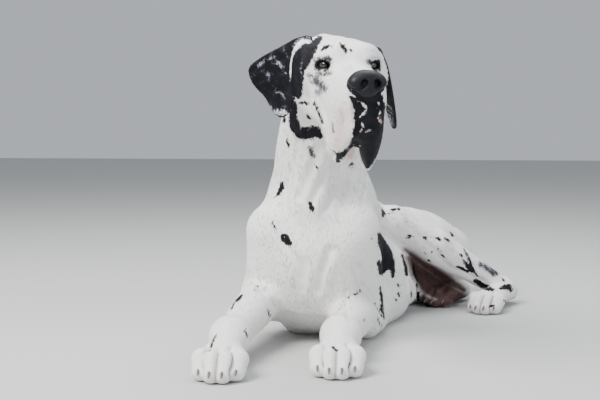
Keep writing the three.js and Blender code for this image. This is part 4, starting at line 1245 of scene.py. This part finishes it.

# %% [markdown]
# A short coat lies flat, so most of it is grain: a fine bump on a dull surface. The material reads the
# point's distance to a patch edge, frays it with noise at the length of a hair, and turns it to black.
# Frost is white hair among the black of the ears. The dark skin mark is the dark bare skin between the
# thighs, with painted shade in that hollow, on the right hind paw below it and between the toes.
# The same material goes on the tufts, so that both carry the same markings.

# %% A small helper for node materials
def paint(name, roughness, specular=0.5, coat=0.0, coat_roughness=0.03):
    material = bpy.data.materials.new(name)
    material.use_nodes = True
    tree = material.node_tree
    shader = tree.nodes["Principled BSDF"]
    shader.inputs["Roughness"].default_value = roughness
    shader.inputs["Specular IOR Level"].default_value = specular
    shader.inputs["Coat Weight"].default_value = coat
    shader.inputs["Coat Roughness"].default_value = coat_roughness

    def node(kind, inputs=None, **settings):
        made = tree.nodes.new("ShaderNode" + kind)
        for key, value in settings.items():
            setattr(made, key, value)
        for key, value in (inputs or {}).items():
            if isinstance(value, bpy.types.NodeSocket):
                tree.links.new(value, made.inputs[key])
            else:
                made.inputs[key].default_value = value
        return made

    return material, shader, node, tree.links.new


def blend_colours(node, factor, first, second):
    """The first colour where the factor is 0 and the second where it is 1."""
    made = node("Mix", data_type="RGBA")
    for socket, value in ((made.inputs[0], factor), (made.inputs[6], first), (made.inputs[7], second)):
        if isinstance(value, bpy.types.NodeSocket):
            made.id_data.links.new(value, socket)
        else:
            socket.default_value = (*value, 1)
    return made.outputs[2]


print("paint helper ready")


# %% The coat's material
FRAY = 5.2


def coat_material(name, grain_depth):
    material, shader, node, link = paint(name, 0.6, specular=0.12)
    place = node("TexCoord").outputs["Object"]
    marks = {key: node("Attribute", attribute_name=key).outputs["Fac"] for key in ("ink", *SOFT_MARKS)}

    def noise(scale, detail=4.0, rough=0.6):
        inputs = {"Vector": place, "Scale": scale, "Detail": detail, "Roughness": rough}
        return node("TexNoise", inputs).outputs["Fac"]

    def times(a, b):
        return node("Math", {0: a, 1: b}, operation="MULTIPLY").outputs[0]

    def plus(a, b, share=1.0):
        return node("Math", {0: a, 1: share, 2: b}, operation="MULTIPLY_ADD").outputs[0]

    def ramp(value, low, high):
        return node("MapRange", {"Value": value, "From Min": low, "From Max": high}).outputs["Result"]

    def blended(factor, first, second):
        return blend_colours(node, factor, first, second)

    frayed = plus(ramp(noise(150.0, 4.0, 0.65), 0.3, 0.7), -FRAY / 2, FRAY)
    black = ramp(plus(frayed, marks["ink"]), -0.8, 0.8)
    roan = ramp(noise(330.0, 4.0, 0.7), 0.32, 0.68)
    blotch = noise(70.0, 3.0, 0.55)
    mottle = plus(roan, times(ramp(blotch, 0.32, 0.68), 0.45), 0.55)
    white = blended(noise(6.0, 3.0), (0.80, 0.78, 0.76), (0.90, 0.895, 0.89))
    flushed = blended(times(marks["pink"], plus(noise(60.0), 0.15)), white, (0.47, 0.22, 0.21))
    # Dark bare skin between the thighs, and painted shade there, on the right hind paw and between the toes
    with_dark_skin_and_shade = blended(marks["dark_skin_and_shade"], flushed, (0.105, 0.060, 0.058))
    speckled = blended(ramp(plus(mottle, marks["grey"]), 0.92, 1.35), with_dark_skin_and_shade, (0.045, 0.047, 0.058))
    slate = blended(ramp(blotch, 0.35, 0.7), (0.005, 0.005, 0.007), (0.012, 0.0125, 0.017))
    frost = plus(mottle, marks["frost"])
    frosted = blended(ramp(frost, 0.95, 1.4), slate, (0.11, 0.12, 0.17))
    white_hair = blended(ramp(frost, 1.12, 1.4), frosted, (0.72, 0.72, 0.76))
    link(blended(black, speckled, white_hair), shader.inputs["Base Color"])
    bump = node("Bump", {"Height": noise(700.0, 3.0, 0.7), "Strength": 0.5, "Distance": grain_depth})
    link(bump.outputs["Normal"], shader.inputs["Normal"])
    return material


SKIN_COAT = coat_material("short_coat", 0.0007)
skin = make_mesh("skin", skin_points, skin_faces, skin_marks)
skin.data.materials.append(SKIN_COAT)
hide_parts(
    "torso", "neck", "head", "ear_left", "ear_right", "tail",
    "foreleg_left", "foreleg_right", "hindleg_left", "hindleg_right",
)
print("skin stands for ten nodes")

# %% [markdown]
# The eye is a ball with a clear bulge over a dark brown iris. On the real dog the wet front gives a
# sharp light, so the material has a clear coat. The colour follows the distance from the line of gaze.

# %% The eyes
def ring_quads(rings, around):
    """Four-sided faces between rings of points, each ring numbered after the one before."""
    grid = np.arange(rings * around).reshape(rings, around)
    a, b = grid[:-1], grid[1:]
    return np.stack([a, np.roll(a, -1, 1), np.roll(b, -1, 1), b], -1).reshape(-1, 4)


IRIS_RADIUS = 8.4
PUPIL_RADIUS = 3.2
GAZE_OUTWARD = 7


def eye_mesh(side, rings=40, around=56):
    gaze = turned((0, 0, side * GAZE_OUTWARD)) @ np.array([0, -1, 0])
    across = unit(np.cross(gaze, [0, 0, 1]))
    above = np.cross(across, gaze)
    angles = np.linspace(0, math.pi, rings)
    turns = np.linspace(0, 2 * math.pi, around, endpoint=False)
    away = np.repeat(angles, around)
    turn = np.tile(turns, rings)
    radius = EYE_RADIUS - 0.5 + 0.9 * np.exp(-((away / 0.5) ** 2))
    ring = np.cos(turn)[:, None] * across + np.sin(turn)[:, None] * above
    points = radius[:, None] * (np.cos(away)[:, None] * gaze + np.sin(away)[:, None] * ring)
    points = points + [side * EYE_SPACING / 2, 0, 0]
    return on_head(points), ring_quads(rings, around)[:, ::-1], {"from_gaze": away * EYE_RADIUS}


eye_paint, shader, node, link = paint("wet_eye", 0.06, coat=1.0, coat_roughness=0.02)
place = node("TexCoord").outputs["Object"]
from_gaze = node("Attribute", attribute_name="from_gaze").outputs["Fac"]


def past(radius, inner, outer):
    """0 nearer to the line of gaze than the radius and 1 further out, with a soft edge."""
    limits = {"Value": from_gaze, "From Min": radius + inner, "From Max": radius + outer}
    return node("MapRange", limits).outputs["Result"]


streaks = node("TexNoise", {"Vector": place, "Scale": 900.0, "Detail": 3.0}).outputs["Fac"]
iris = blend_colours(node, streaks, (0.007, 0.004, 0.003), (0.034, 0.020, 0.013))
with_pupil = blend_colours(node, past(PUPIL_RADIUS, -0.4, 0.5), (0.002, 0.002, 0.002), iris)
with_rim = blend_colours(node, past(IRIS_RADIUS, -1.6, 0), with_pupil, (0.010, 0.007, 0.006))
with_white = blend_colours(node, past(IRIS_RADIUS, 0.4, 1.8), with_rim, (0.060, 0.045, 0.042))
link(with_white, shader.inputs["Base Color"])
for side, which in ((1, "left"), (-1, "right")):
    points, quads, marks = eye_mesh(side)
    eye = make_mesh("eyeball_" + which, points, quads, marks)
    eye.data.materials.append(eye_paint)
    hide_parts("eye_" + which)
print("irises", 2 * IRIS_RADIUS, "mm across")

# %% [markdown]
# The nose is bare leather, black and pebbled. Two round nostrils open to the front, and each runs on
# as a slit under the wing. A groove parts the two sides. Sculpting would do, but the same eggs and tubes
# as before keep it in its solid's place.


# %% The nose leather
NOSTRIL_SHIFT = 4
NOSE_STEP = 1.7
NOSE_LOW = np.array([-44.0, -212, -66])
NOSE_HIGH = np.array([44.0, -148, 8])


def nostrils(back, deep):
    return both(lambda s: egg([s * 11.5 + NOSTRIL_SHIFT, SNOUT - back, -24], [5.8, deep, 7], [0, -s * 24, 0]))


def nose_form():
    wings = both(lambda s: egg([s * 21, SNOUT - 1, -24], [12, 14, 11]))
    top, foot = egg([0, SNOUT + 4, -20], [31, 20, 18.5]), egg([0, SNOUT + 4, -35], [20, 17, 15])
    whole = melt(8, top, foot, *wings)
    slits = []
    for s in (1, -1):
        path = [[s * 31, SNOUT + 4, -22], [s * 27, SNOUT - 4, -30], [s * 20, SNOUT - 9, -33.5]]
        path.append([s * 13 + 2, SNOUT - 14, -31])
        slits.append(tube(settle(whole, np.array(path), 4), [1.6, 2.4, 2.8, 4.0], 16))
    groove = bone([NOSTRIL_SHIFT, SNOUT - 18, -20], [NOSTRIL_SHIFT, SNOUT - 12, -52], 1.3, 1.3)
    return carve(3, carve(4, whole, *nostrils(14, 12)), *slits, groove)


nose_field = nose_form()
nose_points, nose_faces = surface_of(nose_field, NOSE_LOW, NOSE_HIGH, NOSE_STEP, 3)
nose_points = settle(nose_field, nose_points, 3, 1.5)
within_nostrils = melt(3, *nostrils(12, 11))
# The inside mark darkens the nostrils' insides to near black: painted shade in the holes.
nostril_shade = {"inside": np.clip(0.5 - within_nostrils(nose_points) / 3, 0, 1)}
nose = make_mesh("nose_leather", on_head(nose_points), nose_faces, nostril_shade)
leather, shader, node, link = paint("nose_leather", 0.42, specular=0.17, coat=0.03, coat_roughness=0.3)
place = node("TexCoord").outputs["Object"]
pebbles = node("TexVoronoi", {"Vector": place, "Scale": 520.0}).outputs["Distance"]
tone = node("TexNoise", {"Vector": place, "Scale": 60.0, "Detail": 3.0}).outputs["Fac"]
leather_colour = blend_colours(node, tone, (0.007, 0.007, 0.009), (0.018, 0.019, 0.024))
inside = node("Attribute", attribute_name="inside").outputs["Fac"]
# Near black where the inside mark is: painted shade inside the nostrils.
link(blend_colours(node, inside, leather_colour, (0.002, 0.002, 0.002)), shader.inputs["Base Color"])
bump = node("Bump", {"Height": pebbles, "Strength": 0.5, "Distance": 0.0005})
link(bump.outputs["Normal"], shader.inputs["Normal"])
nose.data.materials.append(leather)
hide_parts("nose")
print("nose", len(nose_faces), "faces")

# %% [markdown]
# Claws are short horn hooks. Each leaves its toe forward and down, thick at the root and blunt at the
# tip. A bent cone of rings is enough for that, in the place where the solids have plain ones.

# %% The claws
CLAW_LENGTH = 15
CLAW_SLOPE = 32


def claw_mesh(base, along, size, rings=9, around=12):
    down = math.radians(CLAW_SLOPE)
    way = along * math.cos(down) - np.array([0, 0, math.sin(down)])
    across = np.cross(along, [0, 0, 1])
    above = np.cross(across, way)
    turns = np.linspace(0, 2 * math.pi, around, endpoint=False)
    points = []
    for share in np.linspace(0, 1, rings):
        middle = base + way * size * (share - 0.3) + above * size * 0.10 * math.sin(math.pi * share)
        radius = size * (0.26 - 0.15 * share) * math.sqrt(max(1 - share**6, 0.02))
        points += [middle + radius * (0.8 * math.cos(t) * across + math.sin(t) * above) for t in turns]
    points += [base - way * size * 0.3, base + way * size * 0.70]
    quads = ring_quads(rings, around)
    sides = np.concatenate([quads[:, [0, 1, 2]], quads[:, [0, 2, 3]]])
    root, tip = rings * around, rings * around + 1
    first_ring = np.arange(around)
    last_ring = first_ring + root - around
    root_fan = np.stack([np.roll(first_ring, -1), first_ring, np.full(around, root)], 1)
    tip_fan = np.stack([last_ring, np.roll(last_ring, -1), np.full(around, tip)], 1)
    return np.array(points), np.concatenate([sides, root_fan, tip_fan])


horn, shader, node, link = paint("claw_horn", 0.38, coat=0.15)
place = node("TexCoord").outputs["Object"]
streak = node("TexNoise", {"Vector": place, "Scale": 260.0, "Detail": 4.0}).outputs["Fac"]
link(blend_colours(node, streak, (0.060, 0.045, 0.038), (0.230, 0.180, 0.150)), shader.inputs["Base Color"])
for leg, (start, tips, width) in PAWS.items():
    for i in range(4):
        toe = toe_line(start, tips, width, i)
        base = toe["tip"] + toe["along"] * toe["r"] * 0.86 + [0, 0, toe["r"] * 0.22]
        points, faces = claw_mesh(base, toe["along"], CLAW_LENGTH)
        node_name = f"{leg}_claw_{i + 1}"
        claw = make_mesh("smooth_" + node_name, points, faces)
        claw.data.materials.append(horn)
        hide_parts(node_name)
print("sixteen claws of", CLAW_LENGTH, "mm")

# %% [markdown]
# The coat itself is about a centimetre long and lies flat, so most of it stays grain on the skin. Where
# the body turns away from the eye, hairs break the line. So thin tapered tufts are laid all over it, on
# every side, and closer together on the head and low on the body. Each one leans along the lie of the
# coat: back from the nose, down the neck and chest, down each leg to the toes. Curves of hair would be
# lighter to make, but they don't export.

# %% The lie of the coat
def pull(share, direction):
    return share[:, None] * unit(np.asarray(direction, float))


def lie_of_coat(p, normals):
    """The way hairs point at each place, from how near each part of the body is."""
    nearness = {name: np.exp(-np.maximum(in_chunks(form, p), 0) / 14) for name, form in PARTS.items()}
    q = from_head(p)
    from_nose = unit(q - [0, SNOUT - 20, -10]) + [0, 0.3, -0.5]
    way = 2.0 * nearness["head"][:, None] * (from_nose @ head_axes.T)
    way += 3 * pull(nearness["ear_right"], head_axes @ [-0.75, 0.1, -0.65])
    way += 3 * pull(nearness["ear_left"], head_axes @ [0.1, 0.2, -1])
    chest = np.clip((-p[:, 1] - 60) / 80, 0, 1)
    way += nearness["neck"][:, None] * (unit([0, 0.35, -0.9]) + 0 * p)
    way += nearness["trunk"][:, None] * unit(mix([0, 0.9, -0.4], [0, 0.15, -1], chest[:, None]))
    for name, j in (("left", LEFT), ("right", RIGHT)):
        low_leg = np.clip((j["elbow"][1] - p[:, 1]) / 80, 0, 1)[:, None]
        forearm = mix(unit(j["elbow"] - j["shoulder"]), unit(j["toes"] - j["elbow"]), low_leg)
        way += 2 * nearness["foreleg_" + name][:, None] * forearm
        way += 1.5 * pull(nearness["thigh_" + name], j["thigh"][0] - j["thigh"][-1])
        beyond = np.clip((p[:, 0] - j["ankle"][0] + 40) / 60, 0, 1)[:, None]
        shank = mix(unit(j["ankle"] - j["thigh"][0]), unit(j["hind_toes"] - j["heel"]), beyond)
        way += 2 * nearness["shank_" + name][:, None] * shank
    tail_line = curve(TAIL, 40)
    at = np.clip(((p[:, None, :] - tail_line[None]) ** 2).sum(2).argmin(1), 0, len(tail_line) - 2)
    way += 3 * nearness["tail"][:, None] * unit(tail_line[at + 1] - tail_line[at])
    way = way - normals * (way * normals).sum(1)[:, None]
    return unit(way), nearness


chest_point, chest_normal = np.array([[4.0, -190, 250]]), np.array([[0, -1.0, 0]])
print("the coat lies", lie_of_coat(chest_point, chest_normal)[0].round(2), "on the chest")

# %% Roots of the tufts, spread over the skin
TUFT_COUNT = 52000
LONGEST_TUFT = 12.0


def scattered(count):
    a, b, c = (bare_points[skin_faces[:, k]] for k in range(3))
    area = np.linalg.norm(np.cross(b - a, c - a), axis=1) / 2
    centre = (a + b + c) / 3
    q = from_head(centre)
    closeness = np.linalg.norm((q - [0, -60, -50]) / [1.2, 1.8, 1.4], axis=1)
    weight = np.where(closeness < 110, 2.2, 1.0)
    weight = np.where(centre[:, 2] < 5, 0, weight)
    low_edge = np.clip((60 - centre[:, 2]) / 60, 0, 1)
    weight = weight * (1 + 0.8 * low_edge)
    picks = draw.choice(len(area), count, p=area * weight / (area * weight).sum())
    u, v = draw.random(count), draw.random(count)
    over = u + v > 1
    u[over], v[over] = 1 - u[over], 1 - v[over]
    a, b, c = a[picks], b[picks], c[picks]
    return a + u[:, None] * (b - a) + v[:, None] * (c - a)


roots = settle(skin_field, scattered(TUFT_COUNT), 1, 1.0)
root_normals = unit(slope_of(skin_field, roots))
root_lie, root_part = lie_of_coat(roots, root_normals)
clear = np.minimum(*(opening(roots) for opening in LID_OPENINGS)) > 4
clear &= (on_nose_pad(roots) > 3) & (roots[:, 2] > 4) & (folded(roots) > -2.5)
roots, root_normals, root_lie = roots[clear], root_normals[clear], root_lie[clear]
root_part = {name: share[clear] for name, share in root_part.items()}
root_marks = markings_at(roots)
print(len(roots), "roots")

# %% How long, wide and raised each tuft is
on_head_or_ear = np.maximum.reduce([root_part[name] for name in ("head", "ear_left", "ear_right")])
small = on_head_or_ear
for j in (LEFT, RIGHT):
    for paw, reach in ((j["toes"] + [0, 50, 20], 130), (j["hind_toes"] + [10, 40, 20], 120)):
        beside_paw = np.clip(1 - np.linalg.norm(roots - paw, axis=1) / reach, 0, 1)
        small = np.maximum(small, np.minimum(1, 2 * beside_paw))
tuft_length = mix(LONGEST_TUFT, 5.0, small) * draw.uniform(0.7, 1.15, len(roots))
tuft_width = mix(1.0, 0.7, small) * draw.uniform(0.8, 1.2, len(roots))
tuft_rise = mix(0.34, 0.24, small) * draw.uniform(0.6, 1.3, len(roots))
print("tufts", tuft_length.min().round(1), "to", tuft_length.max().round(1), "mm long")

# %% [markdown]
# Each tuft is a thin spike of three sides that rises from under the skin, bends over and ends in a
# point. Its place on the skin is unrolled to a flat chart, so that a baked colour finds its own patch:
# every part of the body has six charts, one for each way that the skin can face.

# %% Tufts as meshes, each with its patch on the skin's charts
PATCH = 0.003
CHART_ROWS = 6


def chart_places(p, normals, part):
    """Each root's place on the charts: a column for its part of the body and a row for the way it faces."""
    facing = np.abs(normals).argmax(1)
    row = 2 * facing + (normals[np.arange(len(p)), facing] > 0)
    flat = np.stack([p[:, [1, 2]], p[:, [0, 2]], p[:, [0, 1]]])[facing, np.arange(len(p))]
    uv = np.zeros((len(p), 2))
    for k in np.unique(part):
        mine = part == k
        low = flat[mine].min(0)
        span = (flat[mine].max(0) - low).max() + 1
        cell = np.stack([np.full(mine.sum(), k), row[mine]], 1)
        uv[mine] = ((flat[mine] - low) / span * 0.94 + 0.03 + cell) / [len(PARTS), CHART_ROWS]
    return uv


TUFT_FACES = np.array([
    (0, 2, 5), (0, 5, 3), (2, 1, 4), (2, 4, 5), (1, 0, 3), (1, 3, 4), (3, 5, 6), (5, 4, 6), (4, 3, 6),
])
TUFT_POINTS = 7
TUFT_ON_CHART = np.array([(0, 0), (1, 0), (0.5, 0.3), (0.1, 0.6), (0.9, 0.6), (0.5, 0.7), (0.5, 1)]) - 0.5


def tuft_points(root, normal, lie, long, wide, rise):
    """Three points under the skin, three over its middle and the tip, for each tuft."""
    side = np.cross(normal, lie)
    middle = root + lie * long * 0.45
    middle = middle - normal * in_chunks(skin_field, middle)[:, None] + normal * rise * 0.8
    tip = root + lie * long
    tip = tip - normal * np.clip(in_chunks(skin_field, tip), -3, 6)[:, None] + normal * rise
    low = root - normal * 0.8
    points = np.stack([
        low + side * wide * 0.5, low - side * wide * 0.5, low + normal * 0.5,
        middle + side * wide * 0.42, middle - side * wide * 0.42, middle + normal * wide * 0.22, tip,
    ], 1).reshape(-1, 3)
    points[:, 2] = np.maximum(points[:, 2], 0.3)
    return points


def tuft_mesh(name, chosen):
    root, normal, lie = roots[chosen], root_normals[chosen], root_lie[chosen]
    stray = draw.normal(0, 0.16, len(root))[:, None]
    lie = unit(lie + np.cross(normal, lie) * stray)
    sizes = [size[chosen][:, None] for size in (tuft_length, tuft_width, tuft_rise)]
    faces = (np.arange(len(root))[:, None, None] * TUFT_POINTS + TUFT_FACES[None]).reshape(-1, 3)
    marks = {key: np.repeat(value[chosen], TUFT_POINTS) for key, value in root_marks.items()}
    piece = make_mesh(name, tuft_points(root, normal, lie, *sizes), faces, marks)
    part = np.stack([root_part[name][chosen] for name in PARTS]).argmax(0)
    places = chart_places(root, normal, part)
    corners = (places[:, None, :] + TUFT_ON_CHART[None] * PATCH).reshape(-1, 2)[faces.ravel()]
    piece.data.uv_layers.new(name="OFBake").data.foreach_set("uv", corners.astype(np.float32).ravel())
    piece.data.materials.append(TUFT_COAT)
    return piece


TUFT_COAT = coat_material("tuft_coat", 0.0002)
at_head = on_head_or_ear > 0.75
in_front = roots[:, 1] < 60
coat_pieces = dict(coat_head=at_head, coat_front=~at_head & in_front, coat_back=~at_head & ~in_front)
for name, chosen in coat_pieces.items():
    piece = tuft_mesh(name, np.flatnonzero(chosen))
    print(name, len(piece.data.polygons), "triangles")

# %% [markdown]
# Whiskers are the longest hairs of the face: rows on the lips, and a few over the eyes and on the cheek.
# Each is a thin tube of a few rings that bends down and narrows to its tip, with its foot slid on to the
# head's own form. They take the colour of the skin that they stand on.

# %% Whiskers on the lips, cheeks and brows
WHISKERS_A_SIDE = 18


def whisker_places():
    draws = np.random.default_rng(11)
    places, lengths = [], []
    for side in (1, -1):
        for k in range(WHISKERS_A_SIDE):
            row, share = k % 4, (k // 4) / 4
            y = SNOUT + 34 + 62 * share + draws.uniform(-4, 4)
            places.append([side * 60, y, -58 - 17 * row + draws.uniform(-3, 3)])
            lengths.append(draws.uniform(14, 32))
        places += [[side * 34, -42, 34], [side * 40, -38, 30], [side * 46, -32, 33], [side * 90, 26, -66]]
        lengths += [16, 20, 15, 22]
    return on_head(places), np.array(lengths)


def whisker_mesh(stations=7, around=5):
    roots, lengths = whisker_places()
    inward = unit(on_head([0, -90, -70]) - roots)
    for _ in range(60):
        roots = roots + inward * np.clip(head(roots) + COAT_DEPTH, 0, 8)[:, None] * 0.7
    normals = unit(slope_of(head, roots))
    stray = np.random.default_rng(12).normal(0, 0.16, normals.shape)
    back = unit(normals * 0.6 + head_axes @ [0, 0.5, -0.4] + stray)
    bend = head_axes @ [0, 0.55, -0.75]
    points, faces = [], []
    turns = np.linspace(0, 2 * math.pi, around, endpoint=False)
    for root, way, length in zip(roots, back, lengths):
        first = len(points)
        across = unit(np.cross(way, [0.3, 0.2, 1]))
        above = np.cross(across, way)
        for k in range(stations):
            share = k / (stations - 1)
            place = root + way * length * (share - 0.04) + bend * length * 0.28 * share**2
            radius = 0.13 * (1 - share) + 0.03
            points += [place + radius * (math.cos(t) * across + math.sin(t) * above) for t in turns]
        for k in range(stations - 1):
            for i in range(around):
                a, b = first + k * around + i, first + k * around + (i + 1) % around
                faces += [(a, b, b + around), (a, b + around, a + around)]
    return roots, np.array(points), np.array(faces), stations * around


whisker_roots, points, faces, a_whisker = whisker_mesh()
whisker_marks = {key: np.repeat(value, a_whisker) for key, value in markings_at(whisker_roots).items()}
whiskers = make_mesh("whiskers", points, faces, whisker_marks)
whiskers.data.materials.append(TUFT_COAT)
print(len(whisker_roots), "whiskers")

# %% [markdown]
# The dog lies on a plain pale floor. In the photograph the sun is high and to the left of the camera, so
# one large lamp stands there, with a weak one on the other side and one above the back. Large lamps give
# soft shadows, as a studio would, and the world around fills them.

# %% Floor and light
FLOOR_REACH = 12.0
floor_mesh = bpy.data.meshes.new("floor")
corners = [(x * FLOOR_REACH, y * FLOOR_REACH, 0) for x, y in ((-1, -1), (1, -1), (1, 1), (-1, 1))]
floor_mesh.from_pydata(corners, [], [(0, 1, 2, 3)])
floor = bpy.data.objects.new("floor", floor_mesh)
bpy.context.scene.collection.objects.link(floor)
floor_paint, shader, node, link = paint("pale_floor", 0.9)
shader.inputs["Base Color"].default_value = (0.5, 0.51, 0.5, 1)
floor_mesh.materials.append(floor_paint)

world = bpy.data.worlds.new("studio")
bpy.context.scene.world = world
world.use_nodes = True
sky = world.node_tree.nodes["Background"]
sky.inputs["Color"].default_value = (0.80, 0.84, 0.90, 1)
sky.inputs["Strength"].default_value = 0.62


def soft_light(name, place, aim, size, power, colour):
    data = bpy.data.lights.new(name, "AREA")
    data.shape = "DISK"
    data.size = size
    data.energy = power
    data.color = colour
    lamp = bpy.data.objects.new(name, data)
    bpy.context.scene.collection.objects.link(lamp)
    lamp.location = place
    x, y, z = np.array(aim) - np.array(place)
    tilt = math.acos(-z / math.sqrt(x * x + y * y + z * z))
    lamp.rotation_euler = (tilt, 0, math.atan2(x, -y) + math.pi)


soft_light("key", (-1.8, -2.2, 3.0), (0, 0, 0.2), 2.2, 290, (1, 0.985, 0.96))
soft_light("fill", (2.6, -1.6, 1.6), (0, 0, 0.3), 2.5, 34, (0.93, 0.96, 1))
soft_light("top", (0.2, 0.6, 3.2), (0, 0.1, 0), 2.4, 85, (1, 1, 1))
print("three lamps")
